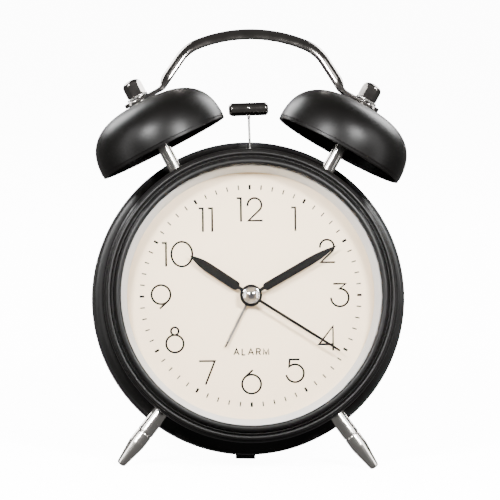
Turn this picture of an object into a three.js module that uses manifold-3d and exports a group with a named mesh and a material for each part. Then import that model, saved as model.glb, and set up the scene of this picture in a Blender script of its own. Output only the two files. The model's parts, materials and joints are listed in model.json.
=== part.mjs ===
// Twin-bell alarm clock with a quartz movement, in millimetres, +Z up.
// The clock is first laid out in its own frame: X to the right, Y from the dial
// to the back, Z towards 12 o'clock, with the origin on the hands' axis at the
// centre of the case. At the end it is leaned back onto its feet and rear pad.
import * as THREE from 'three';
import { mergeVertices } from 'three/addons/utils/BufferGeometryUtils.js';
import Module from 'manifold-3d';

const wasm = await Module();
wasm.setup();

// ---- Driving dimensions ----------------------------------------------------

const degree = Math.PI / 180;
const gap = 0.3; // clearance between pieces that rest on each other
const past = 1; // how far a cutter runs past the face that it goes through
const lap = 0.1; // how far two joined solids reach into each other
const weldDistance = 1e-4;

const stance = { lean: 10.5 * degree, dialHeight: 62.6 };
const table = { half: 150, depth: 60 };

const facets = { large: 48, bell: 32, medium: 16, small: 8 };
const arcSteps = { cove: 5, rearEdge: 3, bead: 3, handCap: 4, nutDome: 5, arch: 6, shoulder: 5, footTip: 3 };

const caseDrum = {
  frontY: -8.7,
  neckRadius: 53,
  neckWall: 1.8,
  neckEndY: 3.2,
  coveRadius: 5.5,
  wall: 1.6,
  ledgeInner: 47.5,
  ledgeFrontY: -6.9,
  ledgeBackY: -5.5,
  rearY: 24,
  rearRound: 2.2,
};
caseDrum.radius = caseDrum.neckRadius + caseDrum.coveRadius;
caseDrum.inner = caseDrum.radius - caseDrum.wall;
caseDrum.neckInner = caseDrum.neckRadius - caseDrum.neckWall;
const boss = { circle: 52.6, radius: 4.4, pilot: 1.5, angles: [90, 195, 345], frontY: 12, rearY: 20.2 };

const hammerSlot = { halfX: 1.9, halfY: 1.3, bottomZ: 45, topZ: 56 };
const boltHole = { bellLowZ: -20, bellHighZ: 0, footInnerR: 40, footOuterR: 60 };

// The bezel's front, as [radius, y] points: the flange, a round bead, then a ridge and the band.
const bezel = {
  opening: 48.5, rearY: -9, outer: 54.8, rebate: 50.3, lipBackY: -16.3, rearEdge: 0.6,
  flange: [[54.8, -12], [53.9, -13.4]],
  bead: { radius: 52.95, y: -14.5, size: 0.75, from: -0.3, to: 0.5 - Math.PI },
  band: [[52.1, -15.3], [51.6, -15.9], [51.2, -15.9], [50.9, -17.2], [50.2, -18], [49.3, -18], [48.5, -17.4]],
};
const lens = { radius: 50, frontY: -16, thickness: 1.6 };
const gasket = { inner: 48.6, frontY: -14.1, thickness: 0.8 };
const dialRing = { outer: 50, frontInner: 48.2, rearInner: 46, frontY: -13, rearY: -8.3 };
const dial = { radius: 50, frontY: -8, thickness: 0.8, hole: 3.1 };

// Hands, each pointing at 12 before it is turned to its own clock angle.
const hands = {
  alarm: { angle: 205.6, backY: -8.9, thickness: 0.4, hub: 3.9, bore: 3.05, width: 0.85, tip: 21.5 },
  hour: {
    angle: 302.5, backY: -9.9, thickness: 0.4, hub: 4.1, bore: 2.25, neck: 1.3,
    neckEnd: 5.6, shoulderEnd: 7.3, width: 3.5, taperStart: 18.7, tip: 27.1,
  },
  minute: {
    angle: 59.1, backY: -10.9, thickness: 0.4, hub: 4.1, bore: 1.5, neck: 1.3,
    neckEnd: 5.6, shoulderEnd: 7.3, width: 3.05, taperStart: 24, tip: 37,
  },
  second: { angle: 121.2, backY: -11.8, thickness: 0.3, hub: 1.6, bore: 0.75, width: 1.05, tip: 39 },
};
const pinTipShare = 0.7; // a pin hand's width just before its tip
const leafBow = 0.55; // how far along a leaf hand's taper its curve is pulled
const handCap = { radius: 3.2, backY: -12.4, height: 1.5 };

// Concentric pipes that carry the hands.
const pipes = {
  alarm: { inner: 2.25, outer: 2.75, frontY: -9.5 },
  hour: { inner: 1.5, outer: 1.95, frontY: -10.5 },
  minute: { inner: 0.75, outer: 1.2, frontY: -11.5 },
};
const secondArbor = {
  radius: 0.45, frontY: -12.25, rearY: 6.5, wheelRadius: 4.5, wheelFrontY: 1.5, wheelThickness: 0.8,
};

// Motion work: 25 degree flanks, short addendum, a little backlash.
const tooth = { pressure: 25 * degree, addendum: 0.8, dedendum: 1.05, backlash: 0.06 };
const gears = {
  alarmWheel: { teeth: 24, module: 0.5, frontY: -4.4, thickness: 0.8 },
  alarmPinion: { teeth: 24, module: 0.5, frontY: -4.4, thickness: 0.8 },
  hourWheel: { teeth: 40, module: 0.48, frontY: -3, thickness: 0.8 },
  minutePinion: { teeth: 10, module: 0.48, frontY: -3, thickness: 0.8 },
  cannonPinion: { teeth: 12, module: 0.5, frontY: -1.6, thickness: 1.2 },
  minuteWheel: { teeth: 36, module: 0.5, frontY: -1.6, thickness: 1.2 },
  crankWheel: { teeth: 30, module: 0.5, frontY: 3.6, thickness: 1.2 },
  motorPinion: { teeth: 10, module: 0.5, frontY: 3.4, thickness: 1.6 },
};
const arbor = {
  offset: 12, radius: 1.2, hole: 1.6, holeDepth: 3, timeFrontY: -3.4, alarmFrontY: -4.6, endY: 27.8,
};

const movement = {
  halfWidth: 26, bottomZ: -13, topZ: 24, plateFrontY: -6.4, plateThickness: 1.4,
  housingFrontY: -4.7, housingRearY: 9, wall: 1.2,
};
const coil = { radius: 3, length: 20, windingLength: 16, core: 1.2, x: 0, y: 3.2, z: 17.5 };
const stator = { halfWidth: 14, bottomZ: 13.2, topZ: 22.2, frontY: -0.4, thickness: 0.9 };
const board = { halfWidth: 20, bottomZ: -11.2, topZ: -6.2, frontY: 3, thickness: 1 };
const chip = { halfWidth: 3, height: 1, margin: 0.6 };
const crystal = { radius: 1, length: 6, x: -11, lift: 0.8 };

const backCover = { radius: 56.4, frontY: 20.5, rearY: 22.3, shaftHole: 2 };
const knob = { radius: 6.5, flutes: 18, fluteDepth: 0.35, frontY: 23, rearY: 28.8, bore: 1.5, boreDepth: 5 };
const screw = { shank: 1.2, shankLength: 8, head: 2.4, headHeight: 1.2, slotWidth: 0.7, slotDepth: 0.6 };

const battery = {
  radius: 7.1, length: 49, nubRadius: 2.7, nubLength: 1, y: 11.9, lowerZ: -36.8, upperZ: -22.2, startX: -23.5,
};
const batteryBox = {
  halfWidth: 28.4, bottomZ: -45.2, topZ: -13.8, frontY: 3.5, rearY: 18.7, wall: 1, chamfer: 4.6,
};
const spring = {
  radius: 3, taper: 0.3, wire: 0.4, turns: 2.5, startX: -26.6, endX: -24.3,
  wireFacets: 3, points: 30, steps: 36,
};
const contact = { width: 9, height: 10, thickness: 0.3, x: 26.9 };
const door = { halfWidth: 26.2, bottomZ: -44, topZ: -15.4, frontY: 20.6, rearY: 22.1, play: 0.4 };
const fingerNotch = { radius: 5, depth: 0.7 };
const alarmSwitch = {
  z: 16, travel: 3, stemX: 4, stemZ: 3, stemFrontY: 19.5, stemRearY: 23.6,
  flangeX: 13, flangeZ: 6, flangeFrontY: 18.8, gripX: 5.4, gripZ: 4.2, gripRearY: 24.6,
};

// Bells: one frame for each side, with its origin at the rim's centre and +Z on the bell's axis.
const bellFrame = { x: 32.5, z: 55.1, tilt: 28 * degree };
const bell = { radius: 25.4, height: 19.4, wall: 1.2, power: 2.75, hole: 2.5, rings: 7 };
const post = { radius: 2.4, footZ: -10.6, shoulderZ: 17.7, stud: 1.9, studTopZ: 25, studBottomZ: -17 };
const tab = { bottomZ: 19.7, thickness: 1.3, width: 9.5, rootShare: 0.84, outerX: 6, bendX: -9.9, hole: 2.3 };
const washer = { bottomZ: 21.3, thickness: 0.6, inner: 2.3, outer: 4.3, root: 3.6, teeth: 14 };
const capNut = {
  bottomZ: 22.1, flats: 6.4, hexHeight: 3.3, height: 6.3, domeSink: 0.6, domeTip: 0.01,
  bore: 2.2, boreDepth: 3.5,
};
const innerNut = { circle: 50.2, height: 2.4, flats: 6.2, bore: 2.2 };

// Handle: a shallow arch, two shoulders and two straight legs that bend into flat tabs.
const handle = {
  topZ: 98.5, archRadius: 54, archAngle: 22 * degree, shoulderRadius: 15,
  legAngle: 57 * degree, legShares: [0.25, 0.5, 0.75, 1], width: 8, depth: 3.6, skin: 1.1, steps: 30,
};

const foot = {
  angle: 143 * degree, rootR: 53.3, tipR: 79.1, radius: 3.05, taperR: 69.2, tipRadius: 1.65,
  tipRound: 0.8, stud: 1.9, studR: 46.4,
};
const restPad = { halfWidth: 3.7, frontY: 19.6, rearY: 23.4, bottomZ: -62 };

const hammer = {
  pivotZ: 44, restTilt: -2.73 * degree, headZ: 26.2, headLength: 14.7, headRadius: 2.45, chamfer: 0.5,
  wire: 0.5, wireFootZ: 1, hubRadius: 2, hubFrontY: -1.5, hubRearY: 2.9, hubBore: 1.1,
  forkFrontY: 1.3, forkThickness: 1.2, forkHalfWidth: 2.4, forkEndZ: -12.5, notchHalf: 0.95, notchTopZ: -8,
};
const bracket = {
  left: -8, right: 18.6, bottomZ: 25.6, topZ: 46.5, frontY: 5.6, thickness: 1,
  pinRadius: 0.8, pinFrontY: -1.5, axleHole: 1.1, shaftHole: 1.2,
};
const crank = {
  z: 34, axle: 0.8, axleFrontY: 3.8, axleRearY: 6.5,
  pinRadius: 0.5, pinOffset: 0.95, pinFrontY: 3, pinRearY: 4.1,
};
const motor = { radius: 8, frontY: 6.9, rearY: 18.4, shaft: 0.7, shaftFrontY: 3.6 };

// ---- Materials -------------------------------------------------------------

function finish(color, roughness, metalness) {
  return new THREE.MeshStandardMaterial({ color, roughness, metalness });
}

const blackPaint = finish(0x1d1b1a, 0.35, 0.3);
const gunmetal = finish(0x4c4844, 0.2, 1);
const nickel = finish(0xb9b5ae, 0.2, 1);
const chrome = finish(0xd8d8d8, 0.08, 1);
const handBlack = finish(0x0d0d0d, 0.6, 0);
const dialPaper = finish(0xf2e9df, 0.7, 0);
const ringWhite = finish(0xd4d4d4, 0.5, 0);
const clearGlass = finish(0xf5f8fa, 0.05, 0);
const blackRubber = finish(0x1a1a1a, 0.85, 0);
const blackPlastic = finish(0x222222, 0.55, 0);
const whitePlastic = finish(0xe8e6e0, 0.5, 0);
const brass = finish(0xb98d45, 0.3, 1);
const steel = finish(0x9c9c9a, 0.35, 1);
const copper = finish(0xa8572c, 0.4, 1);
const greenBoard = finish(0x2c5a38, 0.6, 0);
const batteryWrap = finish(0x39516e, 0.4, 0.2);
const springSteel = finish(0xa9a9a6, 0.3, 1);

// ---- Geometry helpers ------------------------------------------------------

// Merges shared vertices, drops triangles that collapsed, and turns the faces outwards.
function weld(geometry) {
  const bare = geometry.clone();
  bare.deleteAttribute('normal');
  bare.deleteAttribute('uv');
  const merged = mergeVertices(bare, weldDistance);
  const place = merged.attributes.position;
  const old = merged.index.array;
  const kept = [];
  const a = new THREE.Vector3();
  const b = new THREE.Vector3();
  const c = new THREE.Vector3();
  let volume = 0;
  for (let i = 0; i < old.length; i += 3) {
    const [p, q, r] = [old[i], old[i + 1], old[i + 2]];
    if (p === q || q === r || r === p) continue;
    kept.push(p, q, r);
    a.fromBufferAttribute(place, p);
    b.fromBufferAttribute(place, q);
    c.fromBufferAttribute(place, r);
    volume += a.dot(b.cross(c));
  }
  merged.setIndex(volume < 0 ? kept.reverse() : kept);
  return merged;
}

function toSolid(geometry) {
  const welded = weld(geometry);
  const vertProperties = new Float32Array(welded.attributes.position.array);
  const triVerts = new Uint32Array(welded.index.array);
  return new wasm.Manifold(new wasm.Mesh({ numProp: 3, vertProperties, triVerts }));
}

function toGeometry(solid) {
  const mesh = solid.getMesh();
  const geometry = new THREE.BufferGeometry();
  geometry.setAttribute('position', new THREE.BufferAttribute(mesh.vertProperties, 3));
  geometry.setIndex(new THREE.BufferAttribute(mesh.triVerts, 1));
  return geometry;
}

function join(...geometries) {
  return toGeometry(geometries.map(toSolid).reduce((whole, piece) => whole.add(piece)));
}

function cut(geometry, ...tools) {
  return toGeometry(tools.map(toSolid).reduce((rest, tool) => rest.subtract(tool), toSolid(geometry)));
}

// A closed profile of [radius, y] points, turned about Y.
function turned(profile, segments) {
  return new THREE.LatheGeometry(profile.map(([r, y]) => new THREE.Vector2(r, y)), segments);
}

// A tube wall about Y, from frontY to rearY.
function ring(inner, outer, frontY, rearY, segments) {
  return turned([[inner, frontY], [outer, frontY], [outer, rearY], [inner, rearY], [inner, frontY]], segments);
}

// A solid round bar about Y at (x, z), from frontY to rearY.
function bar(radius, frontY, rearY, segments, x = 0, z = 0) {
  const geometry = new THREE.CylinderGeometry(radius, radius, rearY - frontY, segments);
  return geometry.translate(x, (frontY + rearY) / 2, z);
}

// A solid round bar along X, centred on the origin.
function crossBar(radius, length, segments) {
  return new THREE.CylinderGeometry(radius, radius, length, segments).rotateZ(Math.PI / 2);
}

function block(x0, x1, y0, y1, z0, z1) {
  const geometry = new THREE.BoxGeometry(x1 - x0, y1 - y0, z1 - z0);
  return geometry.translate((x0 + x1) / 2, (y0 + y1) / 2, (z0 + z1) / 2);
}

// An outline drawn in the dial's plane, given its thickness forwards from backY.
function plate(shape, backY, thickness, curveSegments = 8) {
  const geometry = new THREE.ExtrudeGeometry(shape, { depth: thickness, bevelEnabled: false, curveSegments });
  return geometry.rotateX(Math.PI / 2).translate(0, backY, 0);
}

// Turns a shape whose axis is Y so that its axis is Z.
function upright(geometry) {
  return geometry.rotateX(Math.PI / 2);
}

function roundHole(radius) {
  return new THREE.Path().absarc(0, 0, radius, 0, 2 * Math.PI, true);
}

function arcPoints(centreX, centreY, radius, from, to, count) {
  return Array.from({ length: count + 1 }, (_, i) => {
    const angle = from + (to - from) * i / count;
    return [centreX + radius * Math.cos(angle), centreY + radius * Math.sin(angle)];
  });
}

const clock = new THREE.Group();

function addPart(name, geometry, material, parent = clock) {
  const mesh = new THREE.Mesh(weld(geometry), material);
  mesh.name = name;
  parent.add(mesh);
  return mesh;
}

// Space below the table top, written in the clock's own frame.
function belowTable() {
  const slab = block(-table.half, table.half, -table.half, table.half, -table.depth, 0);
  return slab.translate(0, 0, -stance.dialHeight).rotateX(stance.lean);
}

// ---- Gears -----------------------------------------------------------------

function involute(angle) {
  return Math.tan(angle) - angle;
}

// Outline of a spur gear whose first tooth is centred on the given angle.
function gearShape({ teeth, module }, phase, bore) {
  const pitch = teeth * module / 2;
  const base = pitch * Math.cos(tooth.pressure);
  const tip = pitch + tooth.addendum * module;
  const root = pitch - tooth.dedendum * module;
  const halfAtPitch = Math.PI / (2 * teeth) - tooth.backlash / (2 * pitch);
  const halfAt = (radius) => {
    const pressure = Math.acos(Math.min(1, base / radius));
    return halfAtPitch + involute(tooth.pressure) - involute(pressure);
  };
  const shape = new THREE.Shape();
  for (let i = 0; i < teeth; i += 1) {
    const centre = phase + 2 * Math.PI * i / teeth;
    const flank = [root, tip].map((radius) => [radius, halfAt(radius)]);
    const outline = [
      ...flank.map(([radius, half]) => [radius, centre - half]),
      ...flank.reverse().map(([radius, half]) => [radius, centre + half]),
    ];
    outline.forEach(([radius, angle], j) => {
      const move = i === 0 && j === 0 ? 'moveTo' : 'lineTo';
      shape[move](radius * Math.cos(angle), radius * Math.sin(angle));
    });
  }
  if (bore) shape.holes.push(roundHole(bore));
  return shape;
}

function gear(spec, phase, bore = 0) {
  return plate(gearShape(spec, phase, bore), spec.frontY + spec.thickness, spec.thickness, 4);
}

// Phase of a gear that meshes with a neighbour lying in the given direction and showing it a tooth.
function meshPhase(spec, directionToNeighbour) {
  return directionToNeighbour + Math.PI / spec.teeth;
}

// ---- Case, front and back --------------------------------------------------

// Places a shape drawn along +Z on a bell's axis.
function inBellFrame(geometry, side) {
  return geometry.rotateY(side * bellFrame.tilt).translate(side * bellFrame.x, 0, bellFrame.z);
}

// Turns a shape drawn along +Z from the case's centre to a foot's direction.
function inFootFrame(geometry, side) {
  return geometry.rotateY(side * foot.angle);
}

function bossCentre(angle) {
  return [boss.circle * Math.cos(angle * degree), boss.circle * Math.sin(angle * degree)];
}

function buildCaseDrum() {
  const c = caseDrum;
  const cove = arcPoints(c.radius, c.neckEndY, c.coveRadius, Math.PI, Math.PI / 2, arcSteps.cove);
  const roundY = c.rearY - c.rearRound;
  const rearEdge = arcPoints(c.radius - c.rearRound, roundY, c.rearRound, 0, Math.PI / 2, arcSteps.rearEdge);
  const coveInside = c.neckEndY + c.coveRadius + c.wall;
  const profile = [
    [c.neckInner, c.frontY],
    [c.neckRadius, c.frontY],
    ...cove,
    ...rearEdge,
    [c.inner, roundY],
    [c.inner, coveInside],
    [c.neckInner, c.neckEndY + c.wall],
    [c.neckInner, c.ledgeBackY],
    [c.ledgeInner, c.ledgeBackY],
    [c.ledgeInner, c.ledgeFrontY],
    [c.neckInner, c.ledgeFrontY],
    [c.neckInner, c.frontY],
  ];
  const bosses = boss.angles.map((angle) => {
    const [x, z] = bossCentre(angle);
    return bar(boss.radius, boss.frontY, boss.rearY, facets.small, x, z);
  });
  const pilots = boss.angles.map((angle) => {
    const [x, z] = bossCentre(angle);
    return bar(boss.pilot, boss.frontY + past, boss.rearY + past, facets.small, x, z);
  });
  const holes = [-1, 1].flatMap((side) => [
    inBellFrame(upright(bar(post.stud + gap, boltHole.bellLowZ, boltHole.bellHighZ, facets.small)), side),
    inFootFrame(upright(bar(foot.stud + gap, boltHole.footInnerR, boltHole.footOuterR, facets.small)), side),
  ]);
  const s = hammerSlot;
  const slot = block(-s.halfX, s.halfX, -s.halfY, s.halfY, s.bottomZ, s.topZ);
  const shell = join(turned(profile, facets.large), ...bosses);
  addPart('case_drum', cut(shell, ...pilots, ...holes, slot), blackPaint);
}

function buildFront() {
  const b = bezel;
  const profile = [
    [b.opening, b.lipBackY],
    [b.rebate, b.lipBackY],
    [b.rebate, b.rearY],
    [b.outer - b.rearEdge, b.rearY],
    [b.outer, b.rearY - b.rearEdge],
    ...b.flange,
    ...arcPoints(b.bead.radius, b.bead.y, b.bead.size, b.bead.from, b.bead.to, arcSteps.bead),
    ...b.band,
    [b.opening, b.lipBackY],
  ];
  addPart('bezel', turned(profile, facets.large), blackPaint);
  addPart('lens', bar(lens.radius, lens.frontY, lens.frontY + lens.thickness, facets.large), clearGlass);
  const gasketRear = gasket.frontY + gasket.thickness;
  addPart('lens_gasket', ring(gasket.inner, lens.radius, gasket.frontY, gasketRear, facets.large), blackRubber);
  const d = dialRing;
  const ringProfile = [
    [d.frontInner, d.frontY],
    [d.outer, d.frontY],
    [d.outer, d.rearY],
    [d.rearInner, d.rearY],
    [d.frontInner, d.frontY],
  ];
  addPart('dial_ring', turned(ringProfile, facets.large), ringWhite);
  const face = ring(dial.hole, dial.radius, dial.frontY, dial.frontY + dial.thickness, facets.large);
  addPart('dial', face, dialPaper);
}

function buildBack() {
  const b = backCover;
  const disc = bar(b.radius, b.frontY, b.rearY, facets.large);
  const low = b.frontY - past;
  const high = b.rearY + past;
  const play = door.play;
  const doorWay = block(
    -door.halfWidth - play, door.halfWidth + play, low, high, door.bottomZ - play, door.topZ + play,
  );
  const shafts = [-1, 1].map((side) => bar(b.shaftHole, low, high, facets.small, side * arbor.offset, 0));
  const slotX = alarmSwitch.stemX / 2 + alarmSwitch.travel / 2 + gap;
  const slotZ = alarmSwitch.stemZ / 2 + gap;
  const slot = block(-slotX, slotX, low, high, alarmSwitch.z - slotZ, alarmSwitch.z + slotZ);
  const screwHoles = boss.angles.map((angle) => {
    const [x, z] = bossCentre(angle);
    return bar(boss.pilot, low, high, facets.small, x, z);
  });
  addPart('back_cover', cut(disc, doorWay, ...shafts, slot, ...screwHoles), blackPlastic);
  boss.angles.forEach((angle, i) => {
    const [x, z] = bossCentre(angle);
    const headFront = b.rearY + gap;
    const headRear = headFront + screw.headHeight;
    const shank = bar(screw.shank, headFront - screw.shankLength, headFront + lap, facets.small);
    const head = bar(screw.head, headFront, headRear, facets.medium);
    const half = screw.slotWidth / 2;
    const groove = block(-screw.head, screw.head, headRear - screw.slotDepth, headRear + past, -half, half);
    addPart(`back_screw_${i + 1}`, cut(join(shank, head), groove), steel).position.set(x, 0, z);
  });
}

function buildBatteryBay() {
  const b = batteryBox;
  const w = b.wall;
  const outside = trough(b.frontY, b.rearY, b.bottomZ, b.topZ, b.chamfer, b.halfWidth);
  const innerChamfer = b.chamfer - w / 2;
  const inside = trough(b.frontY + w, b.rearY + past, b.bottomZ + w, b.topZ - w, innerChamfer, b.halfWidth - w);
  addPart('battery_box', cut(outside, inside), blackPlastic);
  const rows = [['lower', battery.lowerZ, 1], ['upper', battery.upperZ, -1]];
  for (const [row, z, side] of rows) {
    const bay = new THREE.Group();
    bay.position.set(0, battery.y, z);
    bay.rotation.z = side > 0 ? 0 : Math.PI;
    clock.add(bay);
    const profile = [
      [0, 0],
      [battery.radius, 0],
      [battery.radius, battery.length],
      [battery.nubRadius, battery.length],
      [battery.nubRadius, battery.length + battery.nubLength],
      [0, battery.length + battery.nubLength],
    ];
    const cell = turned(profile, facets.medium).rotateZ(-Math.PI / 2).translate(battery.startX, 0, 0);
    addPart(`battery_${row}`, cell, batteryWrap, bay);
    addPart(`battery_spring_${row}`, coilSpring(), springSteel, bay);
    const halfY = contact.width / 2;
    const halfZ = contact.height / 2;
    const strip = block(contact.x, contact.x + contact.thickness, -halfY, halfY, -halfZ, halfZ);
    addPart(`battery_contact_${row}`, strip, springSteel, bay);
  }
  const leaf = block(-door.halfWidth, door.halfWidth, door.frontY, door.rearY, door.bottomZ, door.topZ);
  const notchFront = door.rearY - fingerNotch.depth;
  const notch = bar(fingerNotch.radius, notchFront, door.rearY + past, facets.medium, 0, door.topZ);
  addPart('battery_door', cut(leaf, notch), blackPlastic);
}

// A bar along X whose lower front edge is chamfered.
function trough(frontY, rearY, bottomZ, topZ, chamfer, halfWidth) {
  const shape = new THREE.Shape();
  shape.moveTo(frontY, bottomZ + chamfer);
  shape.lineTo(frontY + chamfer, bottomZ);
  shape.lineTo(rearY, bottomZ);
  shape.lineTo(rearY, topZ);
  shape.lineTo(frontY, topZ);
  const geometry = new THREE.ExtrudeGeometry(shape, { depth: 2 * halfWidth, bevelEnabled: false });
  const [alongX, alongY, alongZ] = [[1, 0, 0], [0, 1, 0], [0, 0, 1]].map((axis) => new THREE.Vector3(...axis));
  geometry.applyMatrix4(new THREE.Matrix4().makeBasis(alongY, alongZ, alongX));
  return geometry.translate(-halfWidth, 0, 0);
}

// Conical spring along X: a helix whose radius shrinks towards the battery.
function coilSpring() {
  const s = spring;
  const points = [];
  for (let i = 0; i <= s.points; i += 1) {
    const t = i / s.points;
    const angle = 2 * Math.PI * s.turns * t;
    const radius = s.radius * (1 - s.taper * t);
    const x = s.startX + (s.endX - s.startX) * t;
    points.push(new THREE.Vector3(x, radius * Math.cos(angle), radius * Math.sin(angle)));
  }
  const wire = new THREE.Shape().absarc(0, 0, s.wire, 0, 2 * Math.PI, false);
  const path = new THREE.CatmullRomCurve3(points);
  return new THREE.ExtrudeGeometry(wire, { steps: s.steps, extrudePath: path, curveSegments: s.wireFacets });
}

function buildSwitch() {
  const s = alarmSwitch;
  const centred = (sizeX, sizeZ, frontY, rearY) => (
    block(-sizeX / 2, sizeX / 2, frontY, rearY, -sizeZ / 2, sizeZ / 2)
  );
  const flange = centred(s.flangeX, s.flangeZ, s.flangeFrontY, backCover.frontY - gap);
  const stem = centred(s.stemX, s.stemZ, s.stemFrontY, s.stemRearY);
  const grip = centred(s.gripX, s.gripZ, backCover.rearY + gap, s.gripRearY);
  addPart('alarm_switch', join(flange, stem, grip), whitePlastic).position.set(-s.travel / 2, 0, s.z);
}

// ---- Hands and motion work -------------------------------------------------

// A straight pin hand: a bar that starts inside its hub ring.
function pinHandShape({ hub, bore, width, tip }) {
  const half = width / 2;
  const start = Math.sqrt(hub * hub - half * half);
  const startAngle = Math.atan2(start, half);
  const shape = new THREE.Shape();
  shape.moveTo(half, start);
  shape.lineTo(half * pinTipShare, tip - half);
  shape.lineTo(0, tip);
  shape.lineTo(-half * pinTipShare, tip - half);
  shape.lineTo(-half, start);
  shape.absarc(0, 0, hub, Math.PI - startAngle, 2 * Math.PI + startAngle, false);
  shape.holes.push(roundHole(bore));
  return shape;
}

// A leaf hand: hub ring, narrow neck, rounded shoulders, parallel blade, convex taper.
function leafHandShape({ hub, bore, neck, neckEnd, shoulderEnd, width, taperStart, tip }) {
  const half = width / 2;
  const neckHalf = neck / 2;
  const start = Math.sqrt(hub * hub - neckHalf * neckHalf);
  const startAngle = Math.atan2(start, neckHalf);
  const taperMiddle = taperStart + (tip - taperStart) * leafBow;
  const shape = new THREE.Shape();
  shape.moveTo(neckHalf, start);
  shape.lineTo(neckHalf, neckEnd);
  shape.quadraticCurveTo(half, neckEnd, half, shoulderEnd);
  shape.lineTo(half, taperStart);
  shape.quadraticCurveTo(half, taperMiddle, 0, tip);
  shape.quadraticCurveTo(-half, taperMiddle, -half, taperStart);
  shape.lineTo(-half, shoulderEnd);
  shape.quadraticCurveTo(-half, neckEnd, -neckHalf, neckEnd);
  shape.lineTo(-neckHalf, start);
  shape.absarc(0, 0, hub, Math.PI - startAngle, 2 * Math.PI + startAngle, false);
  shape.holes.push(roundHole(bore));
  return shape;
}

function buildHands() {
  const shapes = { alarm: pinHandShape, hour: leafHandShape, minute: leafHandShape, second: pinHandShape };
  for (const [name, spec] of Object.entries(hands)) {
    const blade = plate(shapes[name](spec), spec.backY, spec.thickness, 6);
    const material = name === 'alarm' ? steel : handBlack;
    addPart(`${name}_hand`, blade, material).rotation.y = spec.angle * degree;
  }
  const domeRadius = (handCap.radius ** 2 + handCap.height ** 2) / (2 * handCap.height);
  const centreY = handCap.backY - handCap.height + domeRadius;
  const edge = Math.asin(handCap.radius / domeRadius);
  const dome = arcPoints(0, centreY, domeRadius, -Math.PI / 2, -Math.PI / 2 + edge, arcSteps.handCap);
  dome[0][0] = 0;
  addPart('hand_cap', turned([...dome, [0, handCap.backY]], facets.medium), chrome);
}

function buildMotionWork() {
  const right = 0;
  const left = Math.PI;
  const centred = [
    ['alarm_wheel', gears.alarmWheel, pipes.alarm, right, brass],
    ['hour_wheel', gears.hourWheel, pipes.hour, left, whitePlastic],
    ['cannon_pinion', gears.cannonPinion, pipes.minute, left, brass],
  ];
  for (const [name, spec, pipe, phase, material] of centred) {
    const tube = ring(pipe.inner, pipe.outer, pipe.frontY, spec.frontY + spec.thickness, facets.medium);
    const wheel = gear(spec, phase, (pipe.inner + pipe.outer) / 2);
    addPart(name, join(wheel, tube), material);
  }
  const s = secondArbor;
  const wheelRearY = s.wheelFrontY + s.wheelThickness;
  const profile = [
    [0, s.frontY], [s.radius, s.frontY], [s.radius, s.wheelFrontY], [s.wheelRadius, s.wheelFrontY],
    [s.wheelRadius, wheelRearY], [s.radius, wheelRearY], [s.radius, s.rearY], [0, s.rearY],
  ];
  addPart('second_arbor', turned(profile, facets.small), steel);

  // The time-setting arbor stands left of the centre, the alarm-setting arbor right of it.
  const timeShaft = bar(arbor.radius, arbor.timeFrontY, arbor.endY, facets.small);
  const minuteWheel = gear(gears.minuteWheel, meshPhase(gears.minuteWheel, right));
  const minutePinion = gear(gears.minutePinion, meshPhase(gears.minutePinion, right));
  const timeArbor = join(timeShaft, minuteWheel, minutePinion);
  addPart('time_setting_arbor', timeArbor, whitePlastic).position.x = -arbor.offset;
  const alarmShaft = bar(arbor.radius, arbor.alarmFrontY, arbor.endY, facets.small);
  const alarmPinion = gear(gears.alarmPinion, meshPhase(gears.alarmPinion, left));
  addPart('alarm_setting_arbor', join(alarmShaft, alarmPinion), whitePlastic).position.x = arbor.offset;
  for (const [name, side] of [['time_knob', -1], ['alarm_knob', 1]]) {
    addPart(name, knobGeometry(), blackPlastic).position.x = side * arbor.offset;
  }
}

function knobGeometry() {
  const shape = new THREE.Shape();
  const points = 4 * knob.flutes;
  for (let i = 0; i < points; i += 1) {
    const angle = 2 * Math.PI * i / points;
    const radius = knob.radius - knob.fluteDepth * (0.5 - 0.5 * Math.cos(knob.flutes * angle));
    shape[i ? 'lineTo' : 'moveTo'](radius * Math.cos(angle), radius * Math.sin(angle));
  }
  const body = plate(shape, knob.rearY, knob.rearY - knob.frontY);
  return cut(body, bar(knob.bore, knob.frontY - past, knob.frontY + knob.boreDepth, facets.small));
}

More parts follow.
